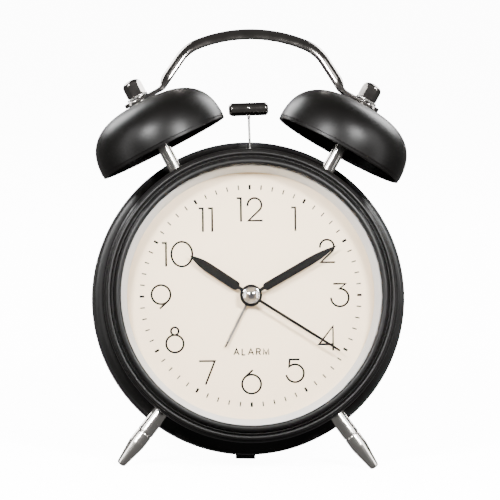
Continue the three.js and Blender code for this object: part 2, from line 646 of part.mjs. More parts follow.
function buildMovement() {
  const m = movement;
  const plateRear = m.plateFrontY + m.plateThickness;
  const front = block(-m.halfWidth, m.halfWidth, m.plateFrontY, plateRear, m.bottomZ, m.topZ);
  const middleHole = bar(dial.hole, m.plateFrontY - past, plateRear + past, facets.medium);
  addPart('movement_plate', cut(front, middleHole), whitePlastic);
  const tub = block(-m.halfWidth, m.halfWidth, m.housingFrontY, m.housingRearY, m.bottomZ, m.topZ);
  const room = block(
    -m.halfWidth + m.wall, m.halfWidth - m.wall, m.housingFrontY - past, m.housingRearY - m.wall,
    m.bottomZ + m.wall, m.topZ - m.wall,
  );
  const holes = [-1, 1].map((side) => (
    bar(arbor.hole, m.housingRearY - arbor.holeDepth, m.housingRearY + past, facets.small, side * arbor.offset)
  ));
  addPart('movement_housing', cut(tub, room, ...holes), whitePlastic);

  const c = coil;
  const winding = crossBar(c.radius, c.windingLength, facets.medium);
  const bobbin = crossBar(c.core, c.length, facets.small);
  addPart('stepper_coil', join(winding, bobbin).translate(c.x, c.y, c.z), copper);
  const s = stator;
  const yoke = block(-s.halfWidth, s.halfWidth, s.frontY - s.thickness, s.frontY, s.bottomZ, s.topZ);
  addPart('stator', yoke, steel);
  const b = board;
  const boardRear = b.frontY + b.thickness;
  const card = block(-b.halfWidth, b.halfWidth, b.frontY, boardRear, b.bottomZ, b.topZ);
  const chipBody = block(
    -chip.halfWidth, chip.halfWidth, boardRear - lap, boardRear + chip.height,
    b.bottomZ + chip.margin, b.topZ - chip.margin,
  );
  const crystalCan = crossBar(crystal.radius, crystal.length, facets.small);
  crystalCan.translate(crystal.x, boardRear + crystal.lift, (b.bottomZ + b.topZ) / 2);
  addPart('circuit_board', join(card, chipBody, crystalCan), greenBoard);
}

// ---- Bells, handle and feet ------------------------------------------------

function hexagon(flats, hole) {
  const shape = new THREE.Shape();
  const corner = flats / 2 / Math.cos(Math.PI / 6);
  for (let i = 0; i < 6; i += 1) {
    const angle = Math.PI * i / 3;
    shape[i ? 'lineTo' : 'moveTo'](corner * Math.cos(angle), corner * Math.sin(angle));
  }
  if (hole) shape.holes.push(roundHole(hole));
  return shape;
}

function riser(shape, bottomZ, height, curveSegments = 6) {
  const geometry = new THREE.ExtrudeGeometry(shape, { depth: height, bevelEnabled: false, curveSegments });
  return geometry.translate(0, 0, bottomZ);
}

// Superellipse dome: |r/R|^n + |z/H|^n = 1, walked from the rim to the bolt hole.
function domeProfile(radius, height, hole, count) {
  const last = Math.acos((hole / radius) ** (bell.power / 2));
  return Array.from({ length: count + 1 }, (_, i) => {
    const t = last * i / count;
    return [radius * Math.cos(t) ** (2 / bell.power), height * Math.sin(t) ** (2 / bell.power)];
  });
}

function bellGeometry() {
  const outside = domeProfile(bell.radius, bell.height, bell.hole, bell.rings);
  const inside = domeProfile(bell.radius - bell.wall, bell.height - bell.wall, bell.hole, bell.rings - 1);
  return upright(turned([...outside, ...inside.reverse(), outside[0]], facets.bell));
}

function washerShape() {
  const shape = new THREE.Shape();
  const points = 4 * washer.teeth;
  for (let i = 0; i < points; i += 1) {
    const angle = 2 * Math.PI * i / points;
    const radius = i % 4 < 2 ? washer.outer : washer.root;
    shape[i ? 'lineTo' : 'moveTo'](radius * Math.cos(angle), radius * Math.sin(angle));
  }
  shape.holes.push(roundHole(washer.inner));
  return shape;
}

function capNutGeometry() {
  const n = capNut;
  const hex = riser(hexagon(n.flats), n.bottomZ, n.hexHeight);
  const domeFoot = n.bottomZ + n.hexHeight - n.domeSink;
  const domeHeight = n.height - n.hexHeight + n.domeSink;
  const outline = domeProfile(n.flats / 2, domeHeight, n.domeTip, arcSteps.nutDome);
  const dome = outline.map(([r, z]) => [r, z + domeFoot]);
  dome[dome.length - 1][0] = 0;
  const cap = upright(turned([[0, dome[0][1]], ...dome], facets.medium));
  const bore = upright(bar(n.bore, n.bottomZ - past, n.bottomZ + n.boreDepth, facets.small));
  return cut(join(hex, cap), bore);
}

function innerNutGeometry() {
  return riser(hexagon(innerNut.flats, innerNut.bore), innerNut.circle - innerNut.height, innerNut.height);
}

function buildBells() {
  for (const [label, side] of [['left', -1], ['right', 1]]) {
    const frame = new THREE.Group();
    frame.position.set(side * bellFrame.x, 0, bellFrame.z);
    frame.rotation.y = side * bellFrame.tilt;
    clock.add(frame);
    addPart(`bell_${label}`, bellGeometry(), blackPaint, frame);
    const profile = [
      [0, post.studBottomZ], [post.stud, post.studBottomZ], [post.stud, post.footZ], [post.radius, post.footZ],
      [post.radius, post.shoulderZ], [post.stud, post.shoulderZ], [post.stud, post.studTopZ], [0, post.studTopZ],
    ];
    addPart(`bell_post_${label}`, upright(turned(profile, facets.medium)), nickel, frame);
    addPart(`lock_washer_${label}`, riser(washerShape(), washer.bottomZ, washer.thickness), steel, frame);
    addPart(`cap_nut_${label}`, capNutGeometry(), gunmetal, frame);
    // The nut inside the case lies on the same bolt, measured from the rim's plane.
    const reach = bellFrame.x * Math.sin(bellFrame.tilt) + bellFrame.z * Math.cos(bellFrame.tilt);
    addPart(`post_nut_${label}`, innerNutGeometry().translate(0, 0, -reach), steel, frame);
  }
}

// Points of the handle's centre line from the left bend to the right bend.
function handlePath() {
  const h = handle;
  const bendZ = tab.bottomZ + h.depth / 2;
  const bend = new THREE.Vector3(tab.bendX, 0, bendZ);
  bend.applyAxisAngle(new THREE.Vector3(0, 1, 0), bellFrame.tilt);
  bend.add(new THREE.Vector3(bellFrame.x, 0, bellFrame.z));
  const rise = Math.PI / 2;
  const arch = arcPoints(0, h.topZ - h.archRadius, h.archRadius, rise, rise - h.archAngle, arcSteps.arch);
  const [endX, endZ] = arch[arch.length - 1];
  const shoulderX = endX - h.shoulderRadius * Math.sin(h.archAngle);
  const shoulderZ = endZ - h.shoulderRadius * Math.cos(h.archAngle);
  const shoulder = arcPoints(
    shoulderX, shoulderZ, h.shoulderRadius, rise - h.archAngle, rise - h.legAngle, arcSteps.shoulder,
  );
  const [legX, legZ] = shoulder[shoulder.length - 1];
  const leg = h.legShares.map((t) => [legX + (bend.x - legX) * t, legZ + (bend.z - legZ) * t]);
  const half = [...arch, ...shoulder.slice(1), ...leg];
  const mirrored = half.slice(1).reverse().map(([x, z]) => [-x, z]);
  return [...mirrored, ...half].map(([x, z]) => new THREE.Vector3(x, 0, z));
}

// Section of the pressed strip: a rounded channel, open on the side that faces the bells.
function channelShape() {
  const half = handle.width / 2;
  const low = handle.depth / 2;
  const shape = new THREE.Shape();
  shape.moveTo(half, low);
  shape.absellipse(0, low, half, handle.depth, 0, -Math.PI, true);
  const innerHalf = half - handle.skin;
  shape.lineTo(-innerHalf, low);
  shape.absellipse(0, low, innerHalf, handle.depth - handle.skin, -Math.PI, 0, false);
  return shape;
}

function buildHandle() {
  const path = new THREE.CatmullRomCurve3(handlePath(), false, 'centripetal');
  const sweep = { steps: handle.steps, extrudePath: path, curveSegments: 4 };
  const strip = new THREE.ExtrudeGeometry(channelShape(), sweep);
  const tabs = [-1, 1].map((side) => {
    const half = tab.width / 2;
    const rootHalf = half * tab.rootShare;
    const shape = new THREE.Shape();
    shape.moveTo(tab.bendX - past, -rootHalf);
    shape.lineTo(tab.outerX - half, -half);
    shape.absarc(tab.outerX - half, 0, half, -Math.PI / 2, Math.PI / 2, false);
    shape.lineTo(tab.bendX - past, rootHalf);
    shape.holes.push(roundHole(tab.hole));
    const flat = riser(shape, tab.bottomZ, tab.thickness);
    if (side < 0) flat.rotateZ(Math.PI);
    return inBellFrame(flat, side);
  });
  addPart('handle', join(strip, ...tabs), gunmetal);
}

function buildFeet() {
  for (const [label, side] of [['left', -1], ['right', 1]]) {
    const f = foot;
    const round = f.tipRound;
    const tip = arcPoints(f.tipRadius - round, f.tipR - round, round, 0, Math.PI / 2, arcSteps.footTip);
    const profile = [
      [0, f.studR], [f.stud, f.studR], [f.stud, f.rootR], [f.radius, f.rootR], [f.radius, f.taperR],
      ...tip, [0, f.tipR],
    ];
    const leg = inFootFrame(upright(turned(profile, facets.medium)), side);
    addPart(`foot_${label}`, cut(leg, belowTable()), nickel);
    addPart(`foot_nut_${label}`, inFootFrame(innerNutGeometry(), side), steel);
  }
  const p = restPad;
  const heel = block(-p.halfWidth, p.halfWidth, p.frontY, p.rearY, p.bottomZ, -caseDrum.inner);
  const underCase = bar(caseDrum.radius + gap, p.frontY - past, p.rearY + past, 2 * facets.large);
  addPart('rest_pad', cut(heel, underCase, belowTable()), blackRubber);
}

// ---- Bell hammer and its drive ---------------------------------------------

function buildHammer() {
  const h = hammer;
  const frame = new THREE.Group();
  frame.position.z = h.pivotZ;
  frame.rotation.y = h.restTilt;
  clock.add(frame);
  const r = h.headRadius;
  const halfLength = h.headLength / 2;
  const profile = [
    [0, -halfLength], [r - h.chamfer, -halfLength], [r, -halfLength + h.chamfer],
    [r, halfLength - h.chamfer], [r - h.chamfer, halfLength], [0, halfLength],
  ];
  const head = turned(profile, facets.medium).rotateZ(Math.PI / 2).translate(0, 0, h.headZ);
  addPart('hammer_head', head, gunmetal, frame);
  const wireTop = h.headZ - h.headRadius - gap;
  const wire = upright(bar(h.wire, h.wireFootZ, wireTop, facets.small));
  const hub = bar(h.hubRadius, h.hubFrontY, h.hubRearY, facets.medium);
  const fork = block(
    -h.forkHalfWidth, h.forkHalfWidth, h.forkFrontY, h.forkFrontY + h.forkThickness, h.forkEndZ, 0,
  );
  const notch = block(
    -h.notchHalf, h.notchHalf, h.forkFrontY - past, h.hubRearY + past, h.forkEndZ - past, h.notchTopZ,
  );
  const bore = bar(h.hubBore, h.hubFrontY - past, h.hubRearY + past, facets.medium);
  addPart('hammer_arm', cut(join(wire, hub, fork), notch, bore), steel, frame);

  const b = bracket;
  const rear = b.frontY + b.thickness;
  const sheet = block(b.left, b.right, b.frontY, rear, b.bottomZ, b.topZ);
  const pin = bar(b.pinRadius, b.pinFrontY, rear, facets.small, 0, h.pivotZ);
  const motorX = (gears.crankWheel.teeth + gears.motorPinion.teeth) * gears.crankWheel.module / 2;
  const axleHole = bar(b.axleHole, b.frontY - past, rear + past, facets.small, 0, crank.z);
  const shaftHole = bar(b.shaftHole, b.frontY - past, rear + past, facets.small, motorX, crank.z);
  addPart('hammer_bracket', cut(join(sheet, pin), axleHole, shaftHole), steel);

  const axle = bar(crank.axle, crank.axleFrontY, crank.axleRearY, facets.small);
  const crankPin = bar(crank.pinRadius, crank.pinFrontY, crank.pinRearY, facets.small, 0, -crank.pinOffset);
  const wheel = gear(gears.crankWheel, 0);
  addPart('crank_wheel', join(wheel, axle, crankPin), whitePlastic).position.z = crank.z;
  const pinionShaft = bar(motor.shaft, motor.shaftFrontY, motor.frontY - gap, facets.small);
  const pinion = gear(gears.motorPinion, meshPhase(gears.motorPinion, Math.PI));
  addPart('motor_pinion', join(pinion, pinionShaft), brass).position.set(motorX, 0, crank.z);
  addPart('bell_motor', bar(motor.radius, motor.frontY, motor.rearY, facets.medium, motorX, crank.z), steel);
}

// ---- Assembly --------------------------------------------------------------

buildCaseDrum();
buildFront();
buildBack();
buildBatteryBay();
buildSwitch();
buildHands();
buildMotionWork();
buildMovement();
buildBells();
buildHandle();
buildFeet();
buildHammer();

// Lean the clock back, stand it on the table and centre it over the origin.
clock.rotation.x = -stance.lean;
clock.position.z = stance.dialHeight;
const alarmClock = new THREE.Group();
alarmClock.add(clock);
alarmClock.updateMatrixWorld(true);
const extent = new THREE.Box3().setFromObject(alarmClock, true);
clock.position.y = -(extent.min.y + extent.max.y) / 2;

export default alarmClock;
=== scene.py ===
import json
import math
import bmesh
import bpy
import numpy as np
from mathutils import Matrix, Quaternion, Vector


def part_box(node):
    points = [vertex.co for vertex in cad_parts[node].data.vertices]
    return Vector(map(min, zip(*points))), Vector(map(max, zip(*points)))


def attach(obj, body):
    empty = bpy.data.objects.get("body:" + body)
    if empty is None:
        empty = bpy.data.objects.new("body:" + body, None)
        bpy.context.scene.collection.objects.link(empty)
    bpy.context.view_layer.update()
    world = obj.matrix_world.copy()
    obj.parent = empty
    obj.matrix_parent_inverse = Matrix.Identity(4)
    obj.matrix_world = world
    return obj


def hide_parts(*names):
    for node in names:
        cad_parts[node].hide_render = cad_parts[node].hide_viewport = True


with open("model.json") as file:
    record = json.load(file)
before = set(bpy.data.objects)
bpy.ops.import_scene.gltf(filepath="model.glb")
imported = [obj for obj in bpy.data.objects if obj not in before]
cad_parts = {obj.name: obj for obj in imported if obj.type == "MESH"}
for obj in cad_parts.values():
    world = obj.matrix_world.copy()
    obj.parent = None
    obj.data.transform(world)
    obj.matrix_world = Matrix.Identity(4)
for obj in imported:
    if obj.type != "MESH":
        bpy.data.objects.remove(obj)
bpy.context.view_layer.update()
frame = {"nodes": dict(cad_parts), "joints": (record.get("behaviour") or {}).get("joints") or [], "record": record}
print("frame loaded:", len(frame["nodes"]), "nodes")

mm = 0.001
joints = {joint["name"]: joint for joint in frame["joints"]}

# The clock's own frame: right, back and up, in millimetres from the dial's centre.
dialCentre = np.array(joints["minute_spin"]["pos_m"])
backAxis = np.array(joints["minute_spin"]["axis"])
rightAxis = np.array([1.0, 0.0, 0.0])
clockAxes = np.column_stack([rightAxis, backAxis, np.cross(rightAxis, backAxis)])

# Columns are a turned shape's two cross axes and its own axis, here from the dial to the back.
dialAxes = np.array([[1.0, 0, 0], [0, 0, 1], [0, 1, 0]])


def toRow(points):
    # Row place = dial centre + right * x + back * y + up * z.
    return dialCentre + mm * np.asarray(points, float) @ clockAxes.T


def tiltedAxes(angle):
    # Axis leans from 12 o'clock towards the right by the angle.
    s, c = math.sin(angle), math.cos(angle)
    return np.array([[c, 0, s], [0, 1, 0], [-s, 0, c]])


# Camera first: a long lens, a little left of the dial and a little above the table.
camera = {
    "azimuth": -2.6, "elevation": 7.3, "distance": 2.5, "roll": 1.1,
    "aimRight": -0.1, "aimUp": 17.5, "frameWidth": 186.7, "sensor": 36,
}


def addCamera(c):
    data = bpy.data.cameras.new("camera")
    data.sensor_width = c["sensor"]
    data.lens = c["sensor"] * c["distance"] / (c["frameWidth"] * mm)
    data.clip_start = 0.01
    shooter = bpy.data.objects.new("camera", data)
    bpy.context.scene.collection.objects.link(shooter)
    a, e = math.radians(c["azimuth"]), math.radians(c["elevation"])
    away = Vector((math.sin(a) * math.cos(e), -math.cos(a) * math.cos(e), math.sin(e)))
    aim = Vector(toRow([c["aimRight"], 0, c["aimUp"]]))
    shooter.location = aim + away * c["distance"]
    shooter.rotation_mode = "QUATERNION"
    roll = Quaternion((0, 0, 1), math.radians(c["roll"]))
    shooter.rotation_quaternion = (-away).to_track_quat("-Z", "Y") @ roll
    bpy.context.scene.camera = shooter


addCamera(camera)


def sheet(points, closeAlong=False):
    # A (rows, columns, 3) grid, closed round each row, becomes quads. Its map is (share of a row, length).
    rows, columns = points.shape[:2]
    index = np.arange(rows * columns).reshape(rows, columns)
    index = np.hstack([index, index[:, :1]])
    whole = points
    if closeAlong:
        index = np.vstack([index, index[:1]])
        whole = np.concatenate([points, points[:1]])
    steps = np.linalg.norm(np.diff(whole, axis=0), axis=2).mean(axis=1)
    length = np.concatenate([[0.0], np.cumsum(steps)])
    u, v = np.meshgrid(np.arange(columns + 1) / columns, length)
    corners = [(slice(None, -1), slice(None, -1)), (slice(1, None), slice(None, -1)),
               (slice(1, None), slice(1, None)), (slice(None, -1), slice(1, None))]
    quads = np.stack([index[c] for c in corners], axis=-1).reshape(-1, 4)
    uv = np.stack([np.stack([u[c], v[c]], axis=-1) for c in corners], axis=2).reshape(-1, 2)
    return points.reshape(-1, 3), quads, uv


def together(*sheets):
    starts = np.cumsum([0] + [len(s[0]) for s in sheets[:-1]])
    return (np.concatenate([s[0] for s in sheets]),
            np.concatenate([s[1] + start for s, start in zip(sheets, starts)]),
            np.concatenate([s[2] for s in sheets]))


def capped(points):
    # A row at the middle of each end closes a tube, once its doubles are merged.
    first = np.broadcast_to(points[0].mean(axis=0), points[:1].shape)
    last = np.broadcast_to(points[-1].mean(axis=0), points[:1].shape)
    return np.concatenate([first, points, last])


def rounded(corners, closed=False, steps=5):
    # Each corner (a, b, trim) becomes a quadratic curve from trim before it to trim after it.
    place = np.array([corner[:2] for corner in corners], float)
    count = len(place)
    outline = []
    for i, corner in enumerate(corners):
        trim = corner[2] if len(corner) > 2 else 0
        if trim == 0 or (not closed and i in (0, count - 1)):
            outline.append(place[i][None])
            continue
        before, after = place[i - 1] - place[i], place[(i + 1) % count] - place[i]
        start = place[i] + before * min(trim / np.linalg.norm(before), 0.49)
        end = place[i] + after * min(trim / np.linalg.norm(after), 0.49)
        t = np.linspace(0, 1, steps)[:, None]
        outline.append((1 - t) ** 2 * start + 2 * t * (1 - t) * place[i] + t ** 2 * end)
    return np.concatenate(outline)


def arc(centre, radius, start, end, steps=24):
    # Points at radius from the centre, from start to end degrees, anticlockwise from +a.
    turn = np.radians(np.linspace(start, end, steps))
    return np.stack([centre[0] + radius * np.cos(turn), centre[1] + radius * np.sin(turn)], axis=1)


def lathe(profile, steps=160, origin=(0, 0, 0), axes=dialAxes, closed=False):
    # Each (radius, height) of the profile is turned once round the axis.
    turn = np.linspace(0, 2 * np.pi, steps, endpoint=False)
    radius, height = np.array(profile, float).T
    local = np.stack([np.outer(radius, np.cos(turn)), np.outer(radius, np.sin(turn)),
                      np.outer(height, np.ones(steps))], axis=-1)
    return sheet(local @ axes.T + np.array(origin), closeAlong=closed)


def fluted(rows, steps, radiusAt, origin=(0, 0, 0), axes=dialAxes, closed=False):
    # Like a lathe, but each row's radius may change with the angle: radiusAt(radius, angle).
    turn = np.linspace(0, 2 * np.pi, steps, endpoint=False)
    radius, height = np.array(rows, float).T
    r = radiusAt(radius[:, None], turn[None])
    h = np.broadcast_to(height[:, None], r.shape)
    local = np.stack([r * np.cos(turn), r * np.sin(turn), h], axis=-1)
    return sheet(local @ axes.T + np.array(origin), closeAlong=closed)


def stroke(path, width, front, rear, closed=False):
    # A flat ribbon along a path in the dial's plane; its edges meet on the bisector at each bend.
    path = np.array(path, float)
    ahead = np.roll(path, -1, axis=0) - path
    ahead /= np.linalg.norm(ahead, axis=1)[:, None]
    behind = np.roll(ahead, 1, axis=0)
    if not closed:
        ahead[-1] = ahead[-2]
        behind[0] = ahead[0]
    sideBehind, sideAhead = [np.stack([-d[:, 1], d[:, 0]], axis=1) for d in (behind, ahead)]
    spread = np.maximum(1 + (sideBehind * sideAhead).sum(axis=1), 0.35)  # holds back very sharp corners
    edge = (sideBehind + sideAhead) / spread[:, None] * width / 2
    frontY, rearY = np.full(len(path), front), np.full(len(path), rear)
    section = [(path + edge, frontY), (path - edge, frontY), (path - edge, rearY), (path + edge, rearY)]
    points = np.stack([np.stack([p[:, 0], y, p[:, 1]], axis=1) for p, y in section], axis=1)
    return sheet(points if closed else capped(points), closeAlong=closed)


def addMesh(name, surface):
    # Clock millimetres become row metres; doubles are merged, then all faces are turned outwards.
    points, quads, uv = surface
    mesh = bpy.data.meshes.new(name)
    mesh.vertices.add(len(points))
    mesh.vertices.foreach_set("co", toRow(points).ravel())
    mesh.loops.add(quads.size)
    mesh.loops.foreach_set("vertex_index", quads.ravel())
    mesh.polygons.add(len(quads))
    mesh.polygons.foreach_set("loop_start", np.arange(0, quads.size, 4))
    mesh.update(calc_edges=True)
    mesh.uv_layers.new(name="UVMap").data.foreach_set("uv", uv.ravel())
    merged = bmesh.new()
    merged.from_mesh(mesh)
    bmesh.ops.remove_doubles(merged, verts=merged.verts, dist=2e-7)
    bmesh.ops.dissolve_degenerate(merged, dist=1e-8, edges=merged.edges)
    bmesh.ops.recalc_face_normals(merged, faces=merged.faces)
    merged.to_mesh(mesh)
    merged.free()
    piece = bpy.data.objects.new(name, mesh)
    bpy.context.scene.collection.objects.link(piece)
    return piece


def smooth(piece, crease):
    piece.data.shade_smooth()
    piece.data.set_sharp_from_angle(angle=math.radians(crease))


def addPiece(name, surface, slotName, body="root", stands=(), crease=38, finish=None):
    piece = addMesh(name, surface) if isinstance(surface, tuple) else surface
    smooth(piece, crease)
    piece.data.materials.clear()
    piece.data.materials.append(finishes[finish or slotName])
    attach(piece, body)
    if stands:
        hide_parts(*stands)
    return piece


def block(x0, x1, y0, y1, z0, z1):
    # Six quads between two rings of four corners.
    ring = np.array([[x0, z0], [x1, z0], [x1, z1], [x0, z1]])
    points = np.concatenate([np.column_stack([ring[:, 0], np.full(4, y), ring[:, 1]]) for y in (y0, y1)])
    quads = np.array([[0, 1, 2, 3], [4, 7, 6, 5], [0, 4, 5, 1], [1, 5, 6, 2], [2, 6, 7, 3], [3, 7, 4, 0]])
    return points, quads, np.zeros((24, 2))


def slab(x, halfX, y0, y1, z, halfZ):
    return block(x - halfX, x + halfX, y0, y1, z - halfZ, z + halfZ)


def bevelled(piece, width, segments=3):
    edge = piece.modifiers.new("edge", "BEVEL")
    edge.width = width * mm
    edge.segments = segments
    edge.limit_method = "ANGLE"
    edge.angle_limit = math.radians(40)
    return piece


def cutAway(piece, *cutters):
    # The cutters' volumes are taken out and the result kept as a plain mesh.
    for cutter in cutters:
        away = piece.modifiers.new("cut", "BOOLEAN")
        away.operation = "DIFFERENCE"
        away.solver = "EXACT"
        away.object = cutter
    bpy.context.view_layer.update()
    graph = bpy.context.evaluated_depsgraph_get()
    mesh = bpy.data.meshes.new_from_object(piece.evaluated_get(graph))
    piece.modifiers.clear()
    piece.data = mesh
    for cutter in cutters:
        bpy.data.objects.remove(cutter)
    return piece


# Finishes: colour is linear; sizes of mottle, grain and relief are in millimetres.
looks = {
    "case_black": {"colour": (0.0024, 0.0021, 0.0019), "roughness": 0.38, "spread": 0.04, "tone": 0.15,
                   "mottle": 18, "grain": 0.35, "relief": 0.003, "gloss": 0.17, "sheen": 0.02},
    "bezel_satin": {"colour": (0.005, 0.0046, 0.0043), "roughness": 0.42, "spread": 0.04, "tone": 0.12,
                    "mottle": 18, "grain": 0.35, "relief": 0.003, "gloss": 0.24},
    "gunmetal": {"colour": (0.27, 0.25, 0.235), "metallic": 1, "roughness": 0.13, "spread": 0.03, "tone": 0.08,
                 "mottle": 6, "grain": 0.5, "relief": 0.0006},
    "bright_nickel": {"colour": (0.80, 0.76, 0.71), "metallic": 1, "roughness": 0.2, "spread": 0.04,
                      "tone": 0.05, "mottle": 8, "grain": 0.3, "relief": 0.0004, "turned": 0.16},
    "mirror_chrome": {"colour": (0.86, 0.86, 0.86), "metallic": 1, "roughness": 0.03, "spread": 0.015,
                      "tone": 0.02, "mottle": 3, "grain": 0.4, "relief": 0.0004},
    "hand_black": {"colour": (0.0025, 0.0022, 0.002), "roughness": 0.6, "spread": 0.06, "tone": 0.12,
                   "mottle": 7, "grain": 0.2, "relief": 0.002, "gloss": 0.08},
    "dial_ink": {"colour": (0.004, 0.0036, 0.003), "roughness": 0.6, "spread": 0.06, "tone": 0.2,
                 "mottle": 1.2, "grain": 0.2, "relief": 0.002, "gloss": 0.08},


    "alarm_hand_grey": {"colour": (0.30, 0.29, 0.28), "metallic": 1, "roughness": 0.3, "spread": 0.06,
                        "tone": 0.08, "mottle": 4, "grain": 0.15, "relief": 0.002},
    "dial_cream": {"colour": (0.965, 0.775, 0.54), "roughness": 0.62, "spread": 0.05, "tone": 0.012,
                   "mottle": 14, "grain": 0.22, "relief": 0.003},
    "ring_white": {"colour": (0.60, 0.61, 0.625), "roughness": 0.42, "spread": 0.05, "tone": 0.015,
                   "mottle": 10, "grain": 0.5, "relief": 0.002},
    "white_plastic": {"colour": (0.78, 0.765, 0.72), "roughness": 0.45, "spread": 0.05, "tone": 0.03,
                      "mottle": 8, "grain": 0.3, "relief": 0.004},
    "black_plastic": {"colour": (0.019, 0.019, 0.02), "roughness": 0.52, "spread": 0.07, "tone": 0.1,
                      "mottle": 14, "grain": 0.4, "relief": 0.022},
    "gasket_rubber": {"colour": (0.018, 0.018, 0.018), "roughness": 0.8, "spread": 0.06, "tone": 0.12,
                      "mottle": 4, "grain": 0.3, "relief": 0.01},
    "zinc_steel": {"colour": (0.42, 0.41, 0.39), "metallic": 1, "roughness": 0.3, "spread": 0.1, "tone": 0.12,
                   "mottle": 2.5, "grain": 0.2, "relief": 0.003},
    "spring_wire": {"colour": (0.62, 0.61, 0.58), "metallic": 1, "roughness": 0.26, "spread": 0.08,
                    "tone": 0.08, "mottle": 3, "grain": 0.15, "relief": 0.002},
    "gear_brass": {"colour": (0.74, 0.52, 0.22), "metallic": 1, "roughness": 0.28, "spread": 0.08, "tone": 0.1,
                   "mottle": 3, "grain": 0.2, "relief": 0.003},
    "coil_copper": {"colour": (0.72, 0.3, 0.14), "metallic": 1, "roughness": 0.35, "spread": 0.08, "tone": 0.15,
                    "mottle": 2, "grain": 0.2, "relief": 0.004, "wound": 0.22},
    "green_board": {"colour": (0.02, 0.13, 0.045), "roughness": 0.4, "spread": 0.08, "tone": 0.3,
                    "mottle": 1.6, "grain": 0.3, "relief": 0.004},
    "battery_sleeve": {"colour": (0.05, 0.10, 0.19), "metallic": 0.3, "roughness": 0.3, "spread": 0.05,
                       "tone": 0.06, "mottle": 9, "grain": 0.4, "relief": 0.002, "coat": 0.4},
}


def newMaterial(name):
    material = bpy.data.materials.new(name)
    material.use_nodes = True
    return material, material.node_tree.nodes, material.node_tree.links


def noiseNode(nodes, links, place, size, detail=3, stretch=(1, 1, 1)):
    # Noise whose blotches are about size across, stretched along the small axes of stretch.
    mapping = nodes.new("ShaderNodeMapping")
    mapping.inputs["Scale"].default_value = stretch
    noise = nodes.new("ShaderNodeTexNoise")
    noise.inputs["Scale"].default_value = 1 / size
    noise.inputs["Detail"].default_value = detail
    links.new(place, mapping.inputs["Vector"])
    links.new(mapping.outputs["Vector"], noise.inputs["Vector"])
    return noise.outputs["Fac"]


def spreadNode(nodes, links, value, low, high):
    spread = nodes.new("ShaderNodeMapRange")
    spread.inputs["From Min"].default_value = 0.3
    spread.inputs["From Max"].default_value = 0.7
    spread.inputs["To Min"].default_value = low
    spread.inputs["To Max"].default_value = high
    links.new(value, spread.inputs["Value"])
    return spread.outputs["Result"]


def tintNode(nodes, links, value, colour, tone):
    # The colour runs from tone darker to tone lighter with the value.
    mix = nodes.new("ShaderNodeMix")
    mix.data_type = "RGBA"
    mix.inputs["A"].default_value = [c * (1 - tone) for c in colour] + [1]
    mix.inputs["B"].default_value = [min(1, c * (1 + tone)) for c in colour] + [1]
    links.new(value, mix.inputs["Factor"])
    return mix.outputs["Result"]


def bumpNode(nodes, links, height, distance, before=None):
    bump = nodes.new("ShaderNodeBump")
    bump.inputs["Strength"].default_value = 1
    bump.inputs["Distance"].default_value = distance * mm
    links.new(height, bump.inputs["Height"])
    if before is not None:
        links.new(before, bump.inputs["Normal"])
    return bump.outputs["Normal"]


def makeFinish(name, look):
    material, nodes, links = newMaterial(name)
    shader = nodes["Principled BSDF"]
    shader.inputs["Metallic"].default_value = look.get("metallic", 0)
    shader.inputs["Specular IOR Level"].default_value = look.get("gloss", 0.5)
    shader.inputs["Coat Weight"].default_value = look.get("coat", 0)
    shader.inputs["Coat Roughness"].default_value = 0.18
    shader.inputs["Sheen Weight"].default_value = look.get("sheen", 0)
    shader.inputs["Sheen Roughness"].default_value = 0.35
    shader.inputs["Sheen Tint"].default_value = (1, 0.9, 0.82, 1)
    coordinates = nodes.new("ShaderNodeTexCoord")
    place = coordinates.outputs["Object"]
    mottle = noiseNode(nodes, links, place, look["mottle"] * mm)
    grain = noiseNode(nodes, links, place, look["grain"] * mm, detail=2)
    tint = spreadNode(nodes, links, mottle, 0, 1)
    links.new(tintNode(nodes, links, tint, look["colour"], look["tone"]), shader.inputs["Base Color"])
    low, high = look["roughness"] - look["spread"], look["roughness"] + look["spread"]
    rough = mottle
    if look.get("turned"):  # lathe lines round the piece: fine along the profile, endless round it
        rough = noiseNode(nodes, links, coordinates.outputs["UV"], look["turned"], stretch=(0.01, 1, 1))
    links.new(spreadNode(nodes, links, rough, low, high), shader.inputs["Roughness"])
    normal = bumpNode(nodes, links, grain, look["relief"])
    if look.get("turned"):
        normal = bumpNode(nodes, links, rough, look["relief"] / 2, normal)
    if look.get("wound"):  # turns of enamelled wire, side by side along X
        wave = nodes.new("ShaderNodeTexWave")
        wave.inputs["Scale"].default_value = 0.31 / (look["wound"] * mm)  # one wave to a turn of wire
        links.new(place, wave.inputs["Vector"])
        normal = bumpNode(nodes, links, wave.outputs["Fac"], look["wound"] / 2, normal)
    links.new(normal, shader.inputs["Normal"])
    return material


lensGlass = {"strength": 0.7, "roughness": 0.02, "ior": 1.5}


def makeLensGlass(g):
    # A thin clear pane: it hides what is behind it only as much as its surface reflects.
    material, nodes, links = newMaterial("lens_glass")
    shader = nodes["Principled BSDF"]
    shader.inputs["Base Color"].default_value = (1, 1, 1, 1)
    shader.inputs["Metallic"].default_value = 1
    shader.inputs["Roughness"].default_value = g["roughness"]
    fresnel = nodes.new("ShaderNodeFresnel")
    fresnel.inputs["IOR"].default_value = g["ior"]
    weaker = nodes.new("ShaderNodeMath")
    weaker.operation = "MULTIPLY"
    weaker.inputs[1].default_value = g["strength"]
    links.new(fresnel.outputs["Fac"], weaker.inputs[0])
    links.new(weaker.outputs["Value"], shader.inputs["Alpha"])
    return material


finishes = {name: makeFinish(name, look) for name, look in looks.items()}
finishes["lens_glass"] = makeLensGlass(lensGlass)
for row in frame["record"]["subparts"]:
    node = frame["nodes"][row["node"]]
    node.data.materials.clear()
    node.data.materials.append(finishes[row["material_slot"]])
print("finishes made:", len(finishes))

